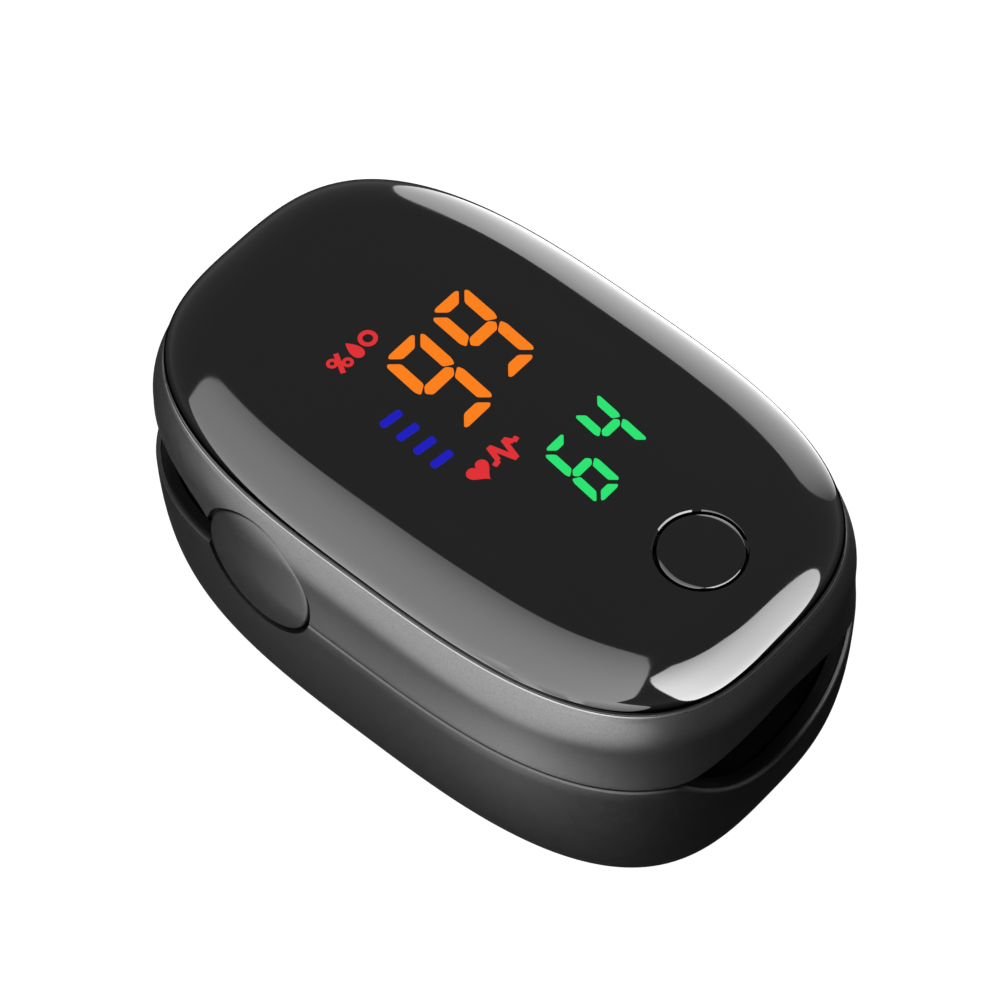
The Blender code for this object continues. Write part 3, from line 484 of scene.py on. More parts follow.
def box(name, low, high, radius=0.0, segments=2):
    bm = bmesh.new()
    bmesh.ops.create_cube(bm, size=1.0)
    size = Vector(high) - Vector(low)
    middle = (Vector(high) + Vector(low)) / 2
    for vert in bm.verts:
        vert.co = Vector([(vert.co[i] * size[i] + middle[i]) * MM for i in range(3)])
    if radius:
        bmesh.ops.bevel(bm, geom=list(bm.edges), offset=radius * MM, segments=segments, profile=0.5,
                        affect="EDGES")
    return mesh_from(bm, name)


def wire(name, points, radius):
    """Round wire through the points, as a mesh tube."""
    curve = bpy.data.curves.new(name, "CURVE")
    curve.dimensions = "3D"
    curve.bevel_depth = radius * MM
    curve.bevel_resolution = 4
    curve.use_fill_caps = True
    spline = curve.splines.new("POLY")
    spline.points.add(len(points) - 1)
    for target, point in zip(spline.points, points):
        target.co = (*(Vector(point) * MM), 1.0)
    guide = bpy.data.objects.new(name + "_guide", curve)
    bpy.context.scene.collection.objects.link(guide)
    graph = bpy.context.evaluated_depsgraph_get()
    mesh = bpy.data.meshes.new_from_object(guide.evaluated_get(graph))
    bpy.data.objects.remove(guide)
    bm = bmesh.new()
    bm.from_mesh(mesh)
    bmesh.ops.remove_doubles(bm, verts=bm.verts, dist=1e-7)
    bpy.data.meshes.remove(mesh)
    return mesh_from(bm, name, 50)


def boolean(item, *tools, operation="DIFFERENCE"):
    """Cut item by each tool in turn, keep the result as plain mesh and drop the tools."""
    for tool in tools:
        modifier = item.modifiers.new("cut", "BOOLEAN")
        modifier.operation = operation
        modifier.object = tool
        modifier.solver = "EXACT"
    graph = bpy.context.evaluated_depsgraph_get()
    mesh = bpy.data.meshes.new_from_object(item.evaluated_get(graph))
    item.modifiers.clear()
    item.data = mesh
    smooth(mesh)
    for tool in tools:
        bpy.data.objects.remove(tool)


# ---------------------------------------------------------------- the case surface

def seam_quarter(count):
    """Points and outward normals of a quarter of the outline, evenly spaced along it."""
    samples = 2000
    power = 2.0 / OUTLINE_EXPONENT
    fine = []
    for i in range(samples + 1):
        angle = math.pi / 2 * i / samples
        fine.append(Vector((SEAM_HALF_LENGTH * max(math.cos(angle), 0.0) ** power,
                            SEAM_HALF_WIDTH * math.sin(angle) ** power)))
    lengths = [0.0]
    for a, b in zip(fine, fine[1:]):
        lengths.append(lengths[-1] + (b - a).length)
    quarter = []
    at = 0
    for k in range(count + 1):
        target = lengths[-1] * k / count
        while at < samples - 1 and lengths[at + 1] < target:
            at += 1
        share = (target - lengths[at]) / (lengths[at + 1] - lengths[at])
        point = fine[at].lerp(fine[at + 1], share)
        power_less_one = OUTLINE_EXPONENT - 1
        gradient = Vector(((max(point.x, 0.0) / SEAM_HALF_LENGTH) ** power_less_one / SEAM_HALF_LENGTH,
                           (max(point.y, 0.0) / SEAM_HALF_WIDTH) ** power_less_one / SEAM_HALF_WIDTH))
        quarter.append((point, gradient.normalized()))
    return quarter


def whole_outline():
    """Every point and normal of the outline, anticlockwise from +X."""
    first = seam_quarter(OUTLINE_POINTS // 4)
    second = [(Vector((-p.x, p.y)), Vector((-n.x, n.y))) for p, n in reversed(first[:-1])]
    half = first + second
    return half + [(Vector((-p.x, -p.y)), Vector((-n.x, -n.y))) for p, n in half[1:-1]]


OUTLINE = whole_outline()


def on_outline(i, offset, z, scale=1.0):
    point, normal = OUTLINE[i]
    place = (point + normal * offset) * scale
    return (place.x, place.y, z)


def ring(offset, z, scale=1.0):
    return [on_outline(i, offset, z, scale) for i in range(OUTLINE_POINTS)]


def quarter_round(share, exponent):
    return 1.0 - (1.0 - min(max(share, 0.0), 1.0) ** exponent) ** (1.0 / exponent)


def case_offset(z):
    """How far the outer surface stands out from the seam outline at height z."""
    if z > TOP_SEAM_Z:
        return -DOME_INSET * quarter_round((z - TOP_SEAM_Z) / DOME_RISE, DOME_EXPONENT)
    if z < MID_SEAM_Z:
        return BAND_FOOT - BOWL_INSET * quarter_round((MID_SEAM_Z - z) / MID_SEAM_Z, BOWL_EXPONENT)
    share = (TOP_SEAM_Z - z) / (TOP_SEAM_Z - MID_SEAM_Z)
    if share < BAND_SWELL_AT:
        return BAND_SWELL * math.sin(share / BAND_SWELL_AT * math.pi / 2)
    turn = (share - BAND_SWELL_AT) / (1 - BAND_SWELL_AT) * math.pi / 2
    return BAND_FOOT + (BAND_SWELL - BAND_FOOT) * math.cos(turn)


def outline_y(x, offset):
    """Half width of the case at x, for an outline moved out by offset."""
    rows = [on_outline(i, offset, 0.0) for i in range(OUTLINE_POINTS // 2 + 1)]
    for (x0, y0, _), (x1, y1, _) in zip(rows, rows[1:]):
        if x1 <= x <= x0:
            share = (x0 - x) / max(x0 - x1, 1e-9)
            return y0 + (y1 - y0) * share
    return 0.0


def lens_top(x, y):
    """Height of the lens over its nearly flat top."""
    share = (abs(x / (SEAM_HALF_LENGTH - DOME_INSET)) ** OUTLINE_EXPONENT
             + abs(y / (SEAM_HALF_WIDTH - DOME_INSET)) ** OUTLINE_EXPONENT) ** (1 / OUTLINE_EXPONENT)
    return DOME_Z + DOME_CROWN * max(0.0, 1 - share ** 2)


def ease(share):
    """A smooth step from 0 to 1."""
    share = min(max(share, 0.0), 1.0)
    return share * share * (3 - 2 * share)


def soft_hump(y, half_width, height):
    """A parabola over the opening that runs smoothly into the level edge on each side."""
    raw = height * (1 - (y / half_width) ** 2)
    return 0.5 * (raw + math.sqrt(raw * raw + HUMP_BLEND ** 2))


def upper_edge(x, y):
    """Height of the upper shell's lower edge."""
    level = MID_SEAM_Z + SEAM_HALF_GAP
    if x > OPENING_START_X:
        return level + soft_hump(y, ARCH_HALF_WIDTH, ARCH_RISE) * ease((x - OPENING_START_X) / OPENING_BLEND)
    if x < PIVOT_X:
        risen = UPPER_EDGE_Z - UPPER_EDGE_RISE * math.exp(min(0.0, x - WEDGE_FRONT_X) / UPPER_EDGE_REACH)
        return level + (risen - level) * ease((PIVOT_X - x) / WEDGE_MOUTH)
    return level


def lower_edge(x, y):
    """Height of the lower shell's rim."""
    level = MID_SEAM_Z - SEAM_HALF_GAP
    if x > OPENING_START_X:
        return level - soft_hump(y, DIP_HALF_WIDTH, DIP_DEPTH) * ease((x - OPENING_START_X) / OPENING_BLEND)
    if x < WEDGE_FRONT_X:
        return level - LOWER_EDGE_DROP * ((WEDGE_FRONT_X - x) / LOWER_EDGE_RUN) ** LOWER_EDGE_CURVE
    return level


def corner(z, offset, radius, start, count=4):
    """(offset, z) points round an edge of the wall, turning a quarter from the angle start."""
    points = []
    for k in range(count + 1):
        angle = math.radians(start + 90 * k / count)
        points.append((offset + radius * math.cos(angle), z + radius * math.sin(angle)))
    return points


def shell_rings(columns):
    """Turn one list of (offset, z) per outline point into rings."""
    return [[on_outline(i, *column[k]) for i, column in enumerate(columns)] for k in range(len(columns[0]))]


def cap_recesses():
    """Tools that cut the round recess of each hinge cap."""
    profile = [(0, 10), (RECESS_RADIUS, 10), (RECESS_RADIUS, 0), (0, 0)]
    return [turned(f"recess_{side}", profile, (PIVOT_X, side * RECESS_FLOOR_Y, PIVOT_Z), 128, (0, side, 0))
            for side in (-1, 1)]


# ---------------------------------------------------------------- shells and lens

def make_band():
    """The metallic band of the upper jaw: a wall with rounded edges, arched over the finger."""
    high = TOP_SEAM_Z - SEAM_HALF_GAP
    rows = 18
    columns = []
    for i in range(OUTLINE_POINTS):
        x, y, _ = on_outline(i, BAND_FOOT, 0)
        low = upper_edge(x, y)
        column = []
        for k in range(rows + 1):
            z = low + EDGE_RADIUS + (high - low - 2 * EDGE_RADIUS) * k / rows
            column.append((case_offset(z), z))
        column += corner(high - EDGE_RADIUS, case_offset(high) - EDGE_RADIUS, EDGE_RADIUS, 0)[1:]
        column.append((case_offset(high) - WALL, high))
        for k in range(rows // 3 + 1):
            z = high + (low - high) * k / (rows // 3)
            column.append((case_offset(z) - WALL - 0.02, z - 0.01 if k == 0 else z))
        column += corner(low + EDGE_RADIUS, case_offset(low) - EDGE_RADIUS, EDGE_RADIUS, -90)[:-1]
        columns.append(column)
    band = loft("band_shell", shell_rings(columns), closed=True)
    boolean(band, *cap_recesses())
    # The band wears the lighter copy of the gunmetal: painted light.
    finish_piece(band, LIT_BAND_GUNMETAL, "upper_jaw", "case_gunmetal", "upper_shell")


def make_bowl():
    """The lower jaw's shell, dipped at the finger opening and sloping down behind the hinge."""
    rows = 30
    columns = []
    for i in range(OUTLINE_POINTS):
        x, y, _ = on_outline(i, BAND_FOOT, 0)
        rim = lower_edge(x, y)
        column = []
        for k in range(rows + 1):
            turn = math.pi / 2 * (1 - k / rows)
            z = (rim - EDGE_RADIUS) * (1 - math.sin(turn) ** (2 / BOWL_EXPONENT))
            column.append((case_offset(z), z))
        column += corner(rim - EDGE_RADIUS, case_offset(rim) - EDGE_RADIUS, EDGE_RADIUS, 0)[1:]
        column.append((case_offset(rim) - LIP_THICKNESS, rim))
        column.append((case_offset(rim) - LIP_THICKNESS - 0.02, rim - REBATE_DEPTH))
        for k in range(9):
            z = rim - REBATE_DEPTH + (WALL + 1.5 + REBATE_DEPTH - rim) * k / 8
            column.append((case_offset(z) - WALL, z))
        column.append((case_offset(1.2) - WALL - 0.9, WALL + 0.25))
        column.append((case_offset(0.2) - WALL - 1.2, WALL))
        columns.append(column)
    rings = [ring(case_offset(0), 0, scale) for scale in (0.1, 0.4, 0.7, 0.9)]
    rings += shell_rings(columns)
    rings += [ring(case_offset(0) - WALL, WALL, scale) for scale in (0.9, 0.6, 0.3, 0.1)]
    return loft("lower_case", rings)


def make_rim_liner():
    """The black inner frame's edge, lapped over the lower shell's rim: only a thin metal lip shows."""
    columns = []
    for i in range(OUTLINE_POINTS):
        x, y, _ = on_outline(i, BAND_FOOT, 0)
        top = lower_edge(x, y) + 0.06
        low = lower_edge(x, y) - REBATE_DEPTH + 0.05
        near, far = case_offset(top) - LIP_THICKNESS - 0.04, case_offset(low) - WALL - 0.15
        columns.append([(near, low), (near, top - 0.1), (near - 0.1, top), (far, top), (far, low)])
    liner = loft("rim_liner", shell_rings(columns), closed=True)
    boolean(liner, *cap_recesses())
    finish_piece(liner, FRAME_BLACK, "lower_jaw", "frame_black")


def door_limits(grow):
    """The space that the battery door fills, with rounded front corners."""
    low = (-40, DOOR_LOW.y - grow, -2)
    high = (DOOR_FRONT_X + grow, DOOR_HIGH.y + grow, DOOR_HIGH.z + grow)
    tool = box("door_limits", low, high)
    bm = bmesh.new()
    bm.from_mesh(tool.data)
    edges = [e for e in bm.edges if all(v.co.x > 0 for v in e.verts)
             and abs(e.verts[0].co.z - e.verts[1].co.z) > 1e-4]
    bmesh.ops.bevel(bm, geom=edges, offset=DOOR_CORNER * MM, segments=8, profile=0.5, affect="EDGES")
    bm.to_mesh(tool.data)
    bm.free()
    return tool


def make_lower_case():
    """The lower shell: the bowl, cut for the caps and the battery door."""
    case = make_bowl()
    boolean(case, *cap_recesses(), door_limits(DOOR_GAP))
    # The bowl wears the darker copy of the gunmetal: painted shade.
    finish_piece(case, SHADED_BOWL_GUNMETAL, "lower_jaw", "case_gunmetal", "lower_shell")


def make_door():
    """The sliding battery door, with a thumb patch of grooves and a tongue in front."""
    door = make_bowl()
    door.name = "door_cover"
    boolean(door, door_limits(0.0), operation="INTERSECT")
    grooves = []
    for k in range(GROOVE_COUNT):
        x = GROOVE_START_X + GROOVE_PITCH * k
        half = 5.2 - 0.35 * abs(k - (GROOVE_COUNT - 1) / 2)
        grooves.append(box(f"groove_{k}", (x, -half, -0.5), (x + GROOVE_WIDTH, half, 0.32), 0.25, 3))
    boolean(door, *grooves)
    boolean(door, box("tongue", (18.4, -1.4, 1.0), (22.0, 1.4, 2.4), 0.2), operation="UNION")
    # The door wears the bowl's darker copy of the gunmetal: painted shade.
    finish_piece(door, SHADED_BOWL_GUNMETAL, "battery_cover", "case_gunmetal", "battery_door")


def make_lens():
    """The glossy cover: rolled edge, nearly flat top, and the button's chamfered hole."""
    foot = TOP_SEAM_Z + SEAM_HALF_GAP
    rows = 26
    outer = []
    for k in range(rows + 1):
        turn = math.pi / 2 * k / rows
        z = foot + 0.2 + (DOME_Z - foot - 0.2) * math.sin(turn) ** (2 / DOME_EXPONENT)
        outer.append((case_offset(z), z))
    rings = [ring(-DOME_INSET - 0.4, DOME_Z - LENS_WALL, scale) for scale in (0.1, 0.5, 0.9)]
    for k in range(9):
        turn = math.pi / 2 * (1 - k / 8)
        share = math.sin(turn) ** (2 / DOME_EXPONENT)
        z = foot + (DOME_Z - LENS_WALL - foot) * share
        rings.append(ring(-LENS_WALL - (DOME_INSET - 0.8) * quarter_round(share, DOME_EXPONENT), z))
    rings.append(ring(case_offset(foot) - 0.2, foot))
    rings.append(ring(case_offset(foot) - 0.06, foot + 0.06))
    rings += [ring(offset, z) for offset, z in outer]
    for step in range(1, 14):
        share = 1 - 0.98 * step / 13
        z = DOME_Z + DOME_CROWN * (1 - share ** 2)
        rings.append(ring(-DOME_INSET, z, share))
    lens = loft("lens_cover", rings, angle=50)
    top = lens_top(BUTTON_X, BUTTON_Y)
    hole = [(0, 3), (BUTTON_HOLE_RADIUS + 3.05, 3), (BUTTON_HOLE_RADIUS, -0.05), (BUTTON_HOLE_RADIUS, -6),
            (0, -6)]
    boolean(lens, turned("hole", hole, (BUTTON_X, BUTTON_Y, top), 128))
    return finish_piece(lens, LENS, "upper_jaw", "lens_gloss", "top_lens")


def make_seam_filler():
    """The black foam that fills the seam between lens and band, seen as a dark line."""
    low = TOP_SEAM_Z - SEAM_HALF_GAP + 0.02
    high = TOP_SEAM_Z + SEAM_HALF_GAP - 0.02
    rings = [ring(-1.15, low), ring(-0.55, low), ring(-0.55, high), ring(-1.15, high)]
    filler = loft("seam_filler", rings, closed=True)
    finish_piece(filler, SILICONE, "upper_jaw", "silicone_black")


def make_band_rim():
    """The bright polished edge round the top of the band, just under the seam."""
    z = TOP_SEAM_Z - SEAM_HALF_GAP - RIM_RADIUS
    offset = case_offset(z) - RIM_RADIUS + 0.03
    rings = [ring(offset + RIM_RADIUS * math.cos(a), z + RIM_RADIUS * math.sin(a)) for a in full_turn(10)]
    finish_piece(loft("band_rim", rings, closed=True), BRIGHT_EDGE, "upper_jaw", "case_gunmetal")


def make_button():
    """The push button: a gloss disc with a soft edge, a flange under the lens, and a stem."""
    top = lens_top(BUTTON_X, BUTTON_Y)
    low = BUTTON_LOW.z - top
    r = BUTTON_RADIUS
    profile = [(0, 0.02), (0.5 * r, 0.01), (r - 0.5, 0.0), (r - 0.13, -0.01), (r - 0.07, -0.03),
               (r - 0.02, -0.07), (r, -0.13), (r, -1.6), (BUTTON_FLANGE, -1.7), (BUTTON_FLANGE, -2.2),
               (BUTTON_STEM, -2.3), (BUTTON_STEM, low), (0, low)]
    button = turned("button_cap", profile, (BUTTON_X, BUTTON_Y, top), 96)
    return finish_piece(button, LENS, "push_button", "lens_gloss", "power_button")


def make_hinge_caps():
    """Slightly crowned discs that follow the side of the case, with a rounded rim."""
    flat_radius = CAP_RADIUS - CAP_EDGE
    radii = [CAP_RADIUS * share for share in (0.04, 0.3, 0.55, 0.75, 0.9)]
    radii += [flat_radius + CAP_EDGE * math.sin(math.pi / 2 * k / 5) for k in range(6)]
    for side, word in ((-1, "right"), (1, "left")):
        rings = []
        for radius in radii:
            past = max(0.0, radius - flat_radius)
            drop = CAP_EDGE - math.sqrt(max(0.0, CAP_EDGE ** 2 - past ** 2))
            crown = CAP_CROWN * (1 - (radius / CAP_RADIUS) ** 2)
            row = []
            for angle in full_turn(96):
                x = PIVOT_X + radius * math.cos(side * angle)
                z = PIVOT_Z + radius * math.sin(side * angle)
                row.append((x, side * (outline_y(x, case_offset(z)) - CAP_SUNK + crown - drop), z))
            rings.append(row)
        rings.append([(x, side * CAP_BACK_Y, z) for x, _, z in rings[-1]])
        cap = loft(f"side_cap_{word}", rings, angle=50)
        finish_piece(cap, GUNMETAL, "lower_jaw", "case_gunmetal", f"hinge_cap_{word}")


def make_skirt():
    """The smooth black wall seen in the wedge behind the hinge."""
    rows = 12
    rise = SKIRT_HIGH_Z + 0.05 - SKIRT_LOW_Z
    levels = [SKIRT_LOW_Z + rise * k / rows for k in range(rows + 1)]
    faces = [(z, SKIRT_OUTER) for z in levels] + [(z, SKIRT_INNER) for z in reversed(levels)]
    bm = bmesh.new()
    grid = []
    for i in [i for i in range(OUTLINE_POINTS) if on_outline(i, 0, 0)[0] < SKIRT_START_X]:
        line = []
        for z, depth in faces:
            clearance = WALL + depth + SKIRT_TAPER * (SKIRT_HIGH_Z - z)
            line.append(bm.verts.new(Vector(on_outline(i, case_offset(z) - clearance, z)) * MM))
        grid.append(line)
    bridge(bm, grid)
    bm.faces.new(grid[0])
    bm.faces.new(list(reversed(grid[-1])))
    finish_piece(mesh_from(bm, "rear_skirt"), FRAME_BLACK, "lower_jaw", "frame_black")


# ---------------------------------------------------------------- finger pads

def channel_share(y):
    """How deep the finger channel is at y: 1 in its flat middle, 0 at its edges."""
    if abs(y) <= CHANNEL_FLAT:
        return 1.0
    turn = math.pi * min((abs(y) - CHANNEL_FLAT) / (CHANNEL_EDGE - CHANNEL_FLAT), 1.0)
    return 0.5 * (1 + math.cos(turn))


def channel_floor(x, y):
    run = max(0.0, min(1.0, (x - SCOOP_START_X) / (SCOOP_END_X - SCOOP_START_X)))
    return LIP_BELOW - (FLOOR_DROP + SCOOP_DROP * run ** 1.3) * channel_share(y)


def channel_ceiling(x, y):
    return LIP_ABOVE + CEILING_RISE * channel_share(y)


def front_x(y, offset=-0.55):
    """Where the inside of the case ends at the finger opening, for this y."""
    rows = [on_outline(i, offset, 0.0) for i in range(OUTLINE_POINTS // 4 + 1)]
    for (x0, y0, _), (x1, y1, _) in zip(rows, rows[1:]):
        if y0 <= abs(y) <= y1:
            share = (abs(y) - y0) / max(y1 - y0, 1e-9)
            return x0 + (x1 - x0) * share
    return rows[0][0]


def make_pad(name, height, up, window, body, node):
    """A moulded pad whose finger side is z = height(x, y); up is 1 where that side faces up."""
    steps = 44
    bm = bmesh.new()
    grid = []
    for i in range(steps + 1):
        y = -PAD_HALF_WIDTH + 2 * PAD_HALF_WIDTH * i / steps
        end = front_x(y)
        line = []
        for k in range(steps + 1):
            x = PAD_REAR_X + (end - PAD_REAR_X) * k / steps
            rib = PAD_RIB_HEIGHT * max(0.0, math.cos(2 * math.pi * x / PAD_RIB_PITCH)) ** 3 * channel_share(y)
            rib *= ease((x + 3.5) / 1.5) * ease((6.8 - x) / 1.5)
            line.append(bm.verts.new(Vector((x, y, height(x, y) + up * rib)) * MM))
        grid.append(line)
    bridge(bm, grid, wrap=False)
    grown = bmesh.ops.extrude_face_region(bm, geom=list(bm.faces))
    moved = [item for item in grown["geom"] if isinstance(item, bmesh.types.BMVert)]
    bmesh.ops.translate(bm, verts=moved, vec=Vector((0, 0, -up * PAD_THICKNESS * MM)))
    pad = mesh_from(bm, name)
    rounding = pad.modifiers.new("rounded rim", "BEVEL")
    rounding.width = 0.3 * MM
    rounding.segments = 3
    rounding.limit_method = "ANGLE"
    rounding.angle_limit = math.radians(60)
    half, stop_low, stop_high = 10.9, LIP_BELOW - 2.2, LIP_BELOW - 0.05
    if up < 0:
        half, stop_low, stop_high = 7.0, LIP_ABOVE + 0.05, LIP_ABOVE + 4.0
    stop = box("stop", (PAD_REAR_X + 0.02, -half, stop_low), (PAD_REAR_X + 1.2, half, stop_high), 0.2)
    low, high = window
    hole = turned("hole", [(0, 3), (WINDOW_RADIUS + 0.12, 3), (WINDOW_RADIUS + 0.12, -3), (0, -3)],
                  (SENSOR_X, 0, (low.z + high.z) / 2), 64)
    boolean(pad, stop, operation="UNION")
    boolean(pad, hole)
    finish_piece(pad, SILICONE, body, "silicone_black", node)


def make_windows():
    """The crowned windows over the light source and the sensor."""
    r = WINDOW_RADIUS
    for name, (low, high), up, body, node in (
            ("sensor_lens", (WINDOW_LOW, WINDOW_HIGH), 1, "lower_jaw", "sensor_window"),
            ("emitter_lens", (EMITTER_LOW, EMITTER_HIGH), -1, "upper_jaw", "emitter_window")):
        depth = high.z - low.z
        profile = [(0, 0.12), (0.6 * r, 0.08), (0.9 * r, 0.0), (r - 0.05, -0.08), (r, -0.2), (r, -depth),
                   (0, -depth)]
        piece = turned(name, profile, (SENSOR_X, 0, high.z if up > 0 else low.z), 64, (0, 0, up))
        finish_piece(piece, WINDOW, body, "red_window", node)


# ---------------------------------------------------------------- small hardware

def make_screws():
    """Pan head screws with a thread and a cross recess."""
    for node in sorted(frame["nodes"]):
        if "_screw_" not in node:
            continue
        low, high = node_box(node)
        up = -1 if node.startswith("upper_case") else 1
        radius = (high.x - low.x) / 2
        tip = HEAD_HEIGHT - (high.z - low.z)
        profile = [(0, HEAD_HEIGHT), (radius * 0.5, HEAD_HEIGHT - 0.02), (radius * 0.8, HEAD_HEIGHT - 0.12),
                   (radius * 0.96, HEAD_HEIGHT - 0.3), (radius, 0.12), (radius - 0.05, 0), (THREAD_RADIUS, 0)]
        for k in range(int(-tip / THREAD_PITCH)):
            z = -0.3 - THREAD_PITCH * k
            profile += [(THREAD_RADIUS, z + 0.12), (THREAD_RADIUS - 0.14, z), (THREAD_RADIUS, z - 0.12)]
        profile += [(0.3, tip + 0.02), (0, tip)]
        x, y = (low.x + high.x) / 2, (low.y + high.y) / 2
        top = high.z if up > 0 else low.z
        screw = turned("fitted_" + node, profile, (x, y, top - up * HEAD_HEIGHT), 32, (0, 0, up))
        ends = sorted((top - up * SLOT_DEPTH, top + up))
        reach = radius * 0.62
        boolean(screw, *[box("slot", (x - a, y - b, ends[0]), (x + a, y + b, ends[1]))
                         for a, b in ((reach, SLOT_HALF_WIDTH), (SLOT_HALF_WIDTH, reach))])
        body = "lower_jaw" if node.startswith("lower") else "upper_jaw"
        finish_piece(screw, STEEL, body, "steel", node)


def make_cells():
    """The two cells, lying opposite ways: nub, shoulder and rounded foot."""
    for word, direction in (("left", -1), ("right", 1)):
        node = f"battery_cell_{word}"
        low, high = node_box(node)
        radius = (high.z - low.z) / 2
        length = high.x - low.x
        profile = [(0, 0), (1.7, 0), (1.9, -0.15), (1.95, -0.95), (2.3, -1.0), (radius - 1.0, -0.9),
                   (radius - 0.5, -0.95), (radius - 0.12, -1.15), (radius, -1.5), (radius, -length + 0.5),
                   (radius - 0.15, -length + 0.15), (radius - 0.5, -length), (0, -length)]
        nub = (low.x if direction < 0 else high.x, (low.y + high.y) / 2, (low.z + high.z) / 2)
        cell = turned(f"cell_{word}", profile, nub, 64, (direction, 0, 0))
        finish_piece(cell, JACKET, "lower_jaw", "cell_jacket", node)


def make_battery_springs():
    """Conical coils that press on the cells' feet."""
    for word, direction, y in (("left", -1, CELL_Y), ("right", 1, -CELL_Y)):
        node = f"battery_spring_{word}"
        low, high = node_box(node)
        plate = high.x if direction < 0 else low.x
        points = []
        for i in range(65):
            share = i / 64
            angle = 2 * math.pi * CONE_TURNS * share
            radius = CONE_RADIUS - CONE_TAPER * share
            points.append((plate + direction * (0.3 + CONE_REACH * share), y + radius * math.cos(angle),
                           CELL_Z + radius * math.sin(angle)))
        finish_piece(wire("fitted_" + node, points, 0.3), NICKEL, "lower_jaw", "nickel", node)


def make_torsion_springs():
    """Coils round the axle, with one leg in each jaw."""
    for side, word in ((1, "left"), (-1, "right")):
        start_y, end_y = side * COIL_START_Y, side * (COIL_START_Y + COIL_RUN)
        points = [(-17.2, start_y, 15.75), (-14.0, start_y, 15.95), (-12.0, start_y, 16.1)]
        for i in range(113):
            share = i / 112
            angle = -math.pi / 2 + 2 * math.pi * COIL_TURNS * share
            points.append((PIVOT_X + COIL_RADIUS * math.cos(angle), side * (COIL_START_Y + COIL_RUN * share),
                           PIVOT_Z + COIL_RADIUS * math.sin(angle)))
        points += [(-12.4, end_y, 20.6), (-15.6, end_y, 21.05)]
        spring = wire(f"fitted_spring_{word}", points, 0.35)
        finish_bending_piece(spring, STEEL, f"torsion_spring_{word}")


def make_flex_cable():
    """The flat amber lead that bends behind the axle; cutting its corners thrice rounds them."""
    corners = [(7.6, 11.8), (-12.5, 11.8), (-15.8, 12.0), (-18.4, 14.8), (-19.2, 19.0), (-19.0, 22.2),
               (-17.6, 23.5)]
    for _ in range(3):
        rounder = corners[:1]
        for (x, z), (next_x, next_z) in zip(corners, corners[1:]):
            rounder += [(x * 0.75 + next_x * 0.25, z * 0.75 + next_z * 0.25),
                        (x * 0.25 + next_x * 0.75, z * 0.25 + next_z * 0.75)]
        corners = rounder + corners[-1:]
    rings = []
    for k, (x, z) in enumerate(corners):
        before, after = corners[max(k - 1, 0)], corners[min(k + 1, len(corners) - 1)]
        along = Vector((after[0] - before[0], after[1] - before[1])).normalized()
        out = Vector((-along.y, along.x)) * FLEX_HALF_THICKNESS
        rings.append([(x + side * out.x, across * FLEX_HALF_WIDTH, z + side * out.y)
                      for side, across in ((-1, -1), (-1, 1), (1, 1), (1, -1))])
    cable = loft("fitted_flex_cable", rings)
    finish_bending_piece(cable, FILM, "flex_cable")


# ---------------------------------------------------------------- the lit display

DIGIT_SEGMENTS = {"9": "abcdfg", "6": "acdefg", "4": "bcfg"}


def rounded(outline, radius):
    """The outline with each corner replaced by a short curve that starts radius away from it."""
    points = [Vector(point) for point in outline]
    result = []
    for before, here, after in zip(points[-1:] + points[:-1], points, points[1:] + points[:1]):
        start = here + (before - here).normalized() * min(radius, 0.42 * (before - here).length)
        end = here + (after - here).normalized() * min(radius, 0.42 * (after - here).length)
        for k in range(5):
            t = k / 4
            result.append(tuple((1 - t) ** 2 * start + 2 * t * (1 - t) * here + t * t * end))
    return result


def lit_plate(name, outlines, material, rounding=0.0):
    """Thin plates flush with the lens; each outline is a list of (x, y) on its top."""
    bm = bmesh.new()
    for outline in outlines:
        if rounding:
            outline = rounded(outline, rounding)
        top = [bm.verts.new(Vector((x, y, lens_top(x, y) + LIT_LIFT)) * MM) for x, y in outline]
        low = [bm.verts.new(Vector((x, y, lens_top(x, y) - LIT_DEPTH)) * MM) for x, y in outline]
        bm.faces.new(top)
        bm.faces.new(list(reversed(low)))
        for i in range(len(top)):
            j = (i + 1) % len(top)
            bm.faces.new((top[i], low[i], low[j], top[j]))
    finish_piece(mesh_from(bm, name), material, "upper_jaw", "display_housing")


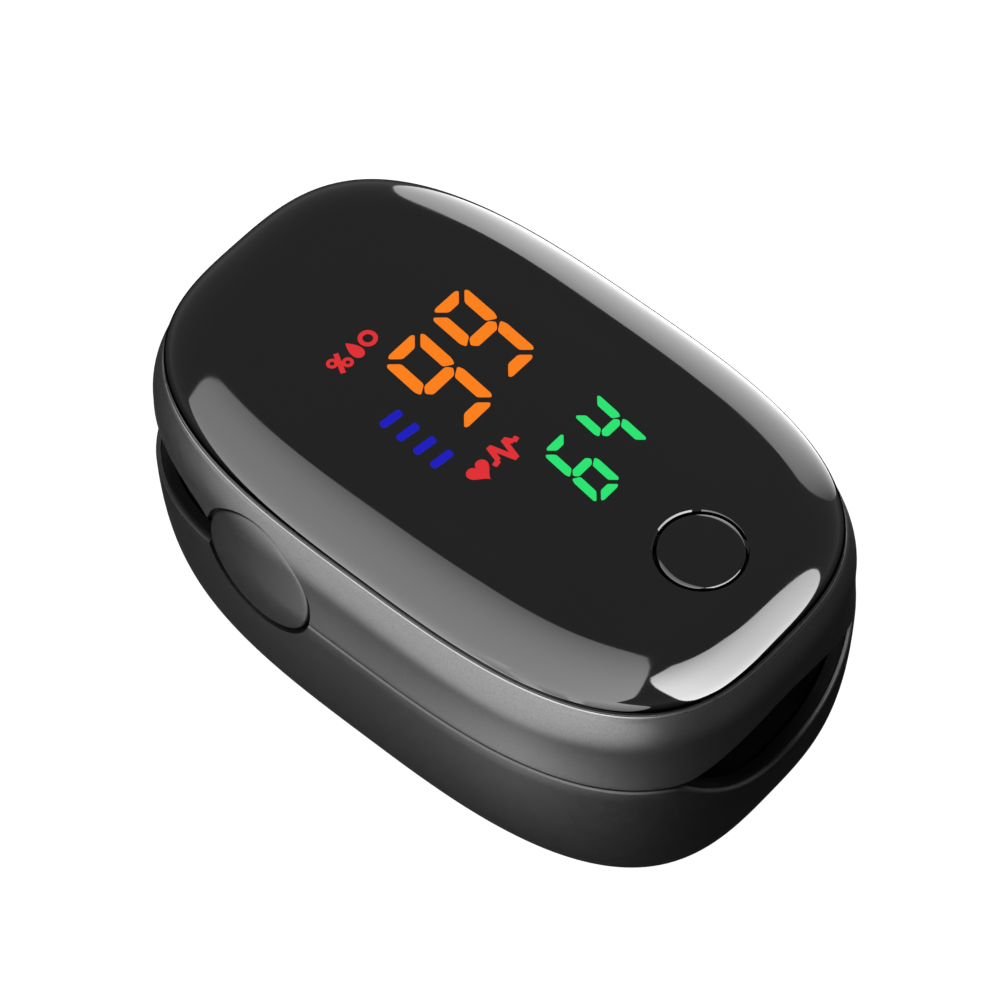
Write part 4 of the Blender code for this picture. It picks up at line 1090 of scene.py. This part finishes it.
def digit_outlines(digit, top_x, left_y, height, width, stroke, slant):
    """The lit segments of a seven segment digit. Its top points to -X, and it reads towards +Y."""
    gap = 0.16 * stroke + 0.09
    half = stroke / 2
    blunt = 0.2 * stroke
    middle = height / 2

    def place(u, v):
        """u runs from left to right, v from the digit's bottom to its top."""
        return (top_x + height - v, left_y + u + slant * v / height)

    def level(v, inner):
        """A level bar at height v; inner is which way its long side shrinks: up, down or both."""
        left, right = half * 0.3 + gap, width - half * 0.3 - gap
        if inner == "both":
            shape = ((left + half * 0.2, v), (left + half, v + half), (right - half, v + half),
                     (right - half * 0.2, v), (right - half, v - half), (left + half, v - half))
        else:
            sign = 1 if inner == "down" else -1
            outer = v + sign * half
            shape = ((left + 2.2 * blunt, outer), (right - 2.2 * blunt, outer),
                     (right - blunt, outer - sign * blunt), (right - stroke, v - sign * half),
                     (left + stroke, v - sign * half), (left + blunt, outer - sign * blunt))
        return [place(*point) for point in shape]

    def upright(u, low, high, side):
        """An upright bar at u, from low to high; side is the outer side, -1 left or 1 right."""
        outer, inner = u + side * half, u - side * half
        if low < 0.1 * height:
            ends_low = ((outer, low + gap + 2.2 * blunt), (outer - side * blunt, low + gap + blunt),
                        (inner, low + gap + stroke))
        else:
            ends_low = ((outer - side * blunt, low + gap * 0.6), (inner, low + gap * 0.6 + half))
        if high > 0.9 * height:
            ends_high = ((inner, high - gap - stroke), (outer - side * blunt, high - gap - blunt),
                         (outer, high - gap - 2.2 * blunt))
        else:
            ends_high = ((inner, high - gap * 0.6 - half), (outer - side * blunt, high - gap * 0.6))
        shape = (*ends_low, *ends_high)
        if low >= 0.1 * height:
            shape = ((outer, low + gap * 0.6 + half), *shape)
        if high <= 0.9 * height:
            shape = (*shape, (outer, high - gap * 0.6 - half))
        return [place(*point) for point in shape]

    bars = {"a": level(height - half, "down"), "g": level(middle, "both"), "d": level(half, "up"),
            "f": upright(half, middle, height, -1), "b": upright(width - half, middle, height, 1),
            "e": upright(half, 0, middle, -1), "c": upright(width - half, 0, middle, 1)}
    return [bars[letter] for letter in DIGIT_SEGMENTS[digit]]


def ring_outlines(x, y, radius, stroke, count=16):
    """An open ring as a fan of short quads."""
    quads = []
    for i in range(count):
        a, b = (2 * math.pi * k / count for k in (i, i + 1))
        quads.append([(x + r * math.cos(t), y + r * math.sin(t))
                      for r, t in ((radius, a), (radius, b), (radius - stroke, b), (radius - stroke, a))])
    return quads


def bar_outline(start, end, stroke):
    a, b = Vector(start), Vector(end)
    across = Vector((-(b - a).y, (b - a).x)).normalized() * stroke / 2
    return [tuple(p) for p in (a + across, a - across, b - across, b + across)]


def heart_outline(x, y, size, count=40):
    """A heart whose lobes point to -X."""
    points = []
    for i in range(count):
        t = 2 * math.pi * i / count
        across = 16 * math.sin(t) ** 3
        up = 13 * math.cos(t) - 5 * math.cos(2 * t) - 2 * math.cos(3 * t) - math.cos(4 * t)
        points.append((x - up * size / 30, y + across * size / 30))
    return points


def drop_outline(x, y, size, count=28):
    """A droplet whose point is towards -X."""
    points = []
    for i in range(count):
        t = 2 * math.pi * i / count
        points.append((x - size / 2 * math.cos(t), y + size * 0.36 * math.sin(t) * math.sin(t / 2)))
    return points


def make_display():
    digits = (("oxygen_tens", "9", -10.95, -3.5, 9.7, 4.6, 1.12, 1.15, ORANGE_LIT),
              ("oxygen_units", "9", -11.25, 2.7, 9.4, 4.35, 1.12, 1.05, ORANGE_LIT),
              ("pulse_tens", "6", 4.95, -1.5, 6.8, 3.1, 0.8, 0.85, GREEN_LIT),
              ("pulse_units", "4", 4.25, 3.1, 6.6, 3.0, 0.8, 0.85, GREEN_LIT))
    for name, digit, top_x, left_y, height, width, stroke, slant, material in digits:
        outlines = digit_outlines(digit, top_x, left_y, height, width, stroke, slant)
        lit_plate(name, outlines, material, 0.2 * stroke)
    bars = []
    for k in range(4):
        x = -6.55 + 1.92 * k
        y = -6.05 - 0.1 * k
        bars.append([(x - 0.52, y - 1.0), (x + 0.22, y - 1.15), (x + 0.52, y + 1.0), (x - 0.22, y + 1.15)])
    lit_plate("signal_bars", bars, BLUE_LIT, 0.3)
    lit_plate("heart_mark", [heart_outline(2.35, -5.25, 2.1)], RED_LIT)
    trace = [(2.9, -4.1), (2.8, -3.45), (1.3, -3.0), (3.8, -2.3), (1.7, -1.65), (2.5, -1.25), (2.4, -0.7)]
    lit_plate("pulse_mark", [bar_outline(a, b, 0.48) for a, b in zip(trace, trace[1:])], RED_LIT, 0.15)
    percent = [bar_outline((-12.6, -5.15), (-14.4, -4.1), 0.44)]
    percent += ring_outlines(-13.95, -5.05, 0.5, 0.3) + ring_outlines(-13.05, -4.1, 0.5, 0.3)
    percent.append(drop_outline(-13.5, -2.8, 2.0))
    percent += ring_outlines(-13.45, -1.2, 0.85, 0.4)
    lit_plate("oxygen_mark", percent, RED_LIT)


# ---------------------------------------------------------------- nodes that keep their own shape

def dress_nodes():
    """Materials for the CAD pieces that keep their own shape."""
    finishes = ((FRAME_BLACK, "lower_inner_frame", "upper_inner_frame"), (HOUSING_GREY, "display_module"),
                (BOARD, "main_board", "sensor_board"), (STEEL, "switch_body", "hinge_axle"),
                (CHIP_BLACK, "processor_chip", "driver_chip", "photodiode", "switch_plunger"),
                (NICKEL, "crystal_can", "battery_bridge_plate", "battery_contact_left",
                 "battery_contact_right"), (WINDOW, "emitter_led"), (SILICONE, "lens_gasket"))
    for material, *nodes in finishes:
        for node in nodes:
            for slot in frame["nodes"][node].material_slots:
                slot.material = material


# ---------------------------------------------------------------- camera, lights and floor

CAMERA_AZIMUTH = 40.957
CAMERA_ELEVATION = 55.418
CAMERA_DISTANCE = 395.04
CAMERA_LENS = 173.1
CAMERA_SIDE = -0.036
CAMERA_RISE = -4.854


def make_camera():
    """A long lens, turned round and raised above the object."""
    azimuth = math.radians(CAMERA_AZIMUTH)
    elevation = math.radians(CAMERA_ELEVATION)
    back = Vector((math.sin(azimuth) * math.cos(elevation), -math.cos(azimuth) * math.cos(elevation),
                   math.sin(elevation)))
    right = Vector((math.cos(azimuth), math.sin(azimuth), 0))
    rise = back.cross(right)
    place = Vector((0, 0, TOP_SEAM_Z)) + back * CAMERA_DISTANCE + right * CAMERA_SIDE + rise * CAMERA_RISE
    data = bpy.data.cameras.new("camera")
    data.lens = CAMERA_LENS
    data.sensor_width = 36
    data.clip_start = 0.01
    data.clip_end = 10
    camera = bpy.data.objects.new("camera", data)
    camera.location = place * MM
    camera.rotation_euler = back.to_track_quat("Z", "Y").to_euler()
    bpy.context.scene.collection.objects.link(camera)
    bpy.context.scene.camera = camera


PANEL_DISTANCE = 900


def light_panel(name, radiance, axis, along, around, shape, lean=0.0, fade=(0.0, 1), slope=(0.0, 0.0),
                only_for=()):
    """A soft lamp panel with rounded corners, standing far off on a sphere round the object.

    axis is "X" or "Y". along is the middle and half reach of the direction's component along that axis.
    around is the middle and half reach of its turn about the axis, in degrees from straight up. shape
    is the exponent of its rounded outline, and lean shifts its upper end along the axis. fade is how much
    dimmer its upper end is and how fast that wears off, and slope is how fast it dims along the axis and
    where it is brightest. only_for names the pieces that it lights, where it doesn't light them all.
    """
    steps = 20
    columns = 4
    bm = bmesh.new()
    glow = bm.verts.layers.float.new("glow")
    rows = []
    for i in range(steps + 1):
        turn_share = -1 + 2 * i / steps
        level = radiance * (1 - fade[0] * (0.5 - 0.5 * turn_share) ** fade[1])
        reach = (1 - abs(turn_share) ** shape) ** (1 / shape)
        turn = math.radians(around[0] + around[1] * turn_share)
        row = []
        for k in range(columns + 1):
            share = reach * (-1 + 2 * k / columns)
            part = along[0] + along[1] * share + lean * max(0.0, -turn_share) ** 2
            side = math.sqrt(max(0.0, 1 - part * part))
            if axis == "X":
                place = Vector((part, -side * math.sin(turn), side * math.cos(turn)))
            else:
                place = Vector((side * math.sin(turn), part, side * math.cos(turn)))
            row.append(bm.verts.new(place * PANEL_DISTANCE * MM))
            row[-1][glow] = level * (1 - slope[0] * abs(share - slope[1]))
        rows.append(row)
    for a, b in zip(rows, rows[1:]):
        for k in range(columns):
            if (a[k].co - a[k + 1].co).length + (b[k].co - b[k + 1].co).length > 1e-6:
                bm.faces.new((a[k], a[k + 1], b[k + 1], b[k]))
    panel = mesh_from(bm, name)
    graph = Graph(name, Roughness=1.0, Emission_Color=(1.0, 1.0, 1.0, 1.0))
    attribute = graph.nodes.new("ShaderNodeAttribute")
    attribute.attribute_name = "glow"
    graph.links.new(attribute.outputs["Fac"], graph.shader.inputs["Emission Strength"])
    panel.data.materials.append(graph.material)
    panel.location.z = 25 * MM
    panel.visible_camera = False
    panel.visible_shadow = False
    panel.visible_diffuse = False
    if only_for:
        lit = bpy.data.collections.new(name + "_lit_pieces")
        for piece in only_for:
            lit.objects.link(piece)
        panel.light_linking.receiver_collection = lit


def make_lights(glossy_pieces):
    """Three panels round the object, and one in front that only the lens and the button catch."""
    light_panel("near_panel", 4.8, "X", (-0.11, 0.70), (62, 81), 1.65, -0.24, (0.55, 8), (0.2, 1.0))
    light_panel("low_near_panel", 5.9, "X", (0.2, 0.54), (111, -27), 2.0, 0.0, (0.85, 1))
    light_panel("far_panel", 7.0, "X", (-0.23, 0.40), (-83, -42), 1.8, -0.1, (0.4, 3), (0.7, -0.35))
    light_panel("front_panel", 14.6, "Y", (0.11, 0.53), (67, 56), 2.2, 0.0, (0.5, 6), (0.22, -0.9),
                glossy_pieces)


def make_world():
    """Soft studio surroundings: dim above, brighter round the horizon and dark below."""
    world = bpy.data.worlds.new("studio")
    world.use_nodes = True
    nodes = world.node_tree.nodes
    links = world.node_tree.links
    place = nodes.new("ShaderNodeTexCoord")
    split = nodes.new("ShaderNodeSeparateXYZ")
    ramp = nodes.new("ShaderNodeValToRGB")
    height = nodes.new("ShaderNodeMapRange")
    height.inputs["From Min"].default_value = -1.0
    height.inputs["From Max"].default_value = 1.0
    links.new(place.outputs["Generated"], split.inputs["Vector"])
    links.new(split.outputs["Z"], height.inputs["Value"])
    links.new(height.outputs["Result"], ramp.inputs["Fac"])
    links.new(ramp.outputs["Color"], nodes["Background"].inputs["Color"])
    stops = ((0.0, 0.0), (0.2, 0.0), (0.38, 0.2), (0.47, 0.4), (0.6, 0.34), (0.8, 0.31), (1.0, 0.29))
    fill_ramp(ramp.color_ramp, [(position, (value, value, value)) for position, value in stops])
    bpy.context.scene.world = world


def make_floor():
    """A wide pale floor, in metres, whose far edge curves up; it can be seen through from below."""
    bm = bmesh.new()
    bend = [math.pi / 2 * k / 12 for k in range(1, 13)]
    profile = [(0.3, 0), (1.2, 0)] + [(1.2 + 1.5 * math.sin(t), 1.5 - 1.5 * math.cos(t)) for t in bend]
    profile.append((2.7, 4))
    rows = [[bm.verts.new((radius * math.cos(a), radius * math.sin(a), height)) for a in full_turn(96)]
            for radius, height in profile]
    bm.faces.new(rows[0])
    bridge(bm, rows)
    bmesh.ops.recalc_face_normals(bm, faces=bm.faces)
    bm.faces.ensure_lookup_table()
    if bm.faces[0].normal.z < 0:
        bmesh.ops.reverse_faces(bm, faces=bm.faces)
    mesh = bpy.data.meshes.new("floor")
    bm.to_mesh(mesh)
    bm.free()
    smooth(mesh, 80)
    floor = add_mesh("floor", mesh)
    graph = Graph("pale_floor", Roughness=0.9, Specular_IOR_Level=0.1, Emission_Strength=0.97,
                  Emission_Color=(1.0, 1.0, 1.0, 1.0))
    graph.mottle(graph.noise(3, 2), (0.46, 0.46, 0.46), (0.48, 0.48, 0.48))
    facing = graph.nodes.new("ShaderNodeNewGeometry").outputs["Backfacing"]
    graph.links.new(graph.span(facing, 0, 1, 1, 0), graph.shader.inputs["Alpha"])
    floor.data.materials.append(graph.material)
    floor.location.z = -0.02 * MM
    floor.visible_glossy = False
    floor.visible_diffuse = False
    floor.visible_shadow = False


make_camera()
make_band()
make_lower_case()
make_rim_liner()
make_door()
lens = make_lens()
make_seam_filler()
make_band_rim()
button = make_button()
make_hinge_caps()
make_skirt()
make_pad("lower_pad", channel_floor, 1, (WINDOW_LOW, WINDOW_HIGH), "lower_jaw", "lower_finger_pad")
make_pad("upper_pad", channel_ceiling, -1, (EMITTER_LOW, EMITTER_HIGH), "upper_jaw", "upper_finger_pad")
make_windows()
make_screws()
make_cells()
make_battery_springs()
make_torsion_springs()
make_flex_cable()
make_display()
dress_nodes()
make_lights((lens, button))
make_world()
make_floor()
bpy.context.scene.view_settings.view_transform = "Standard"
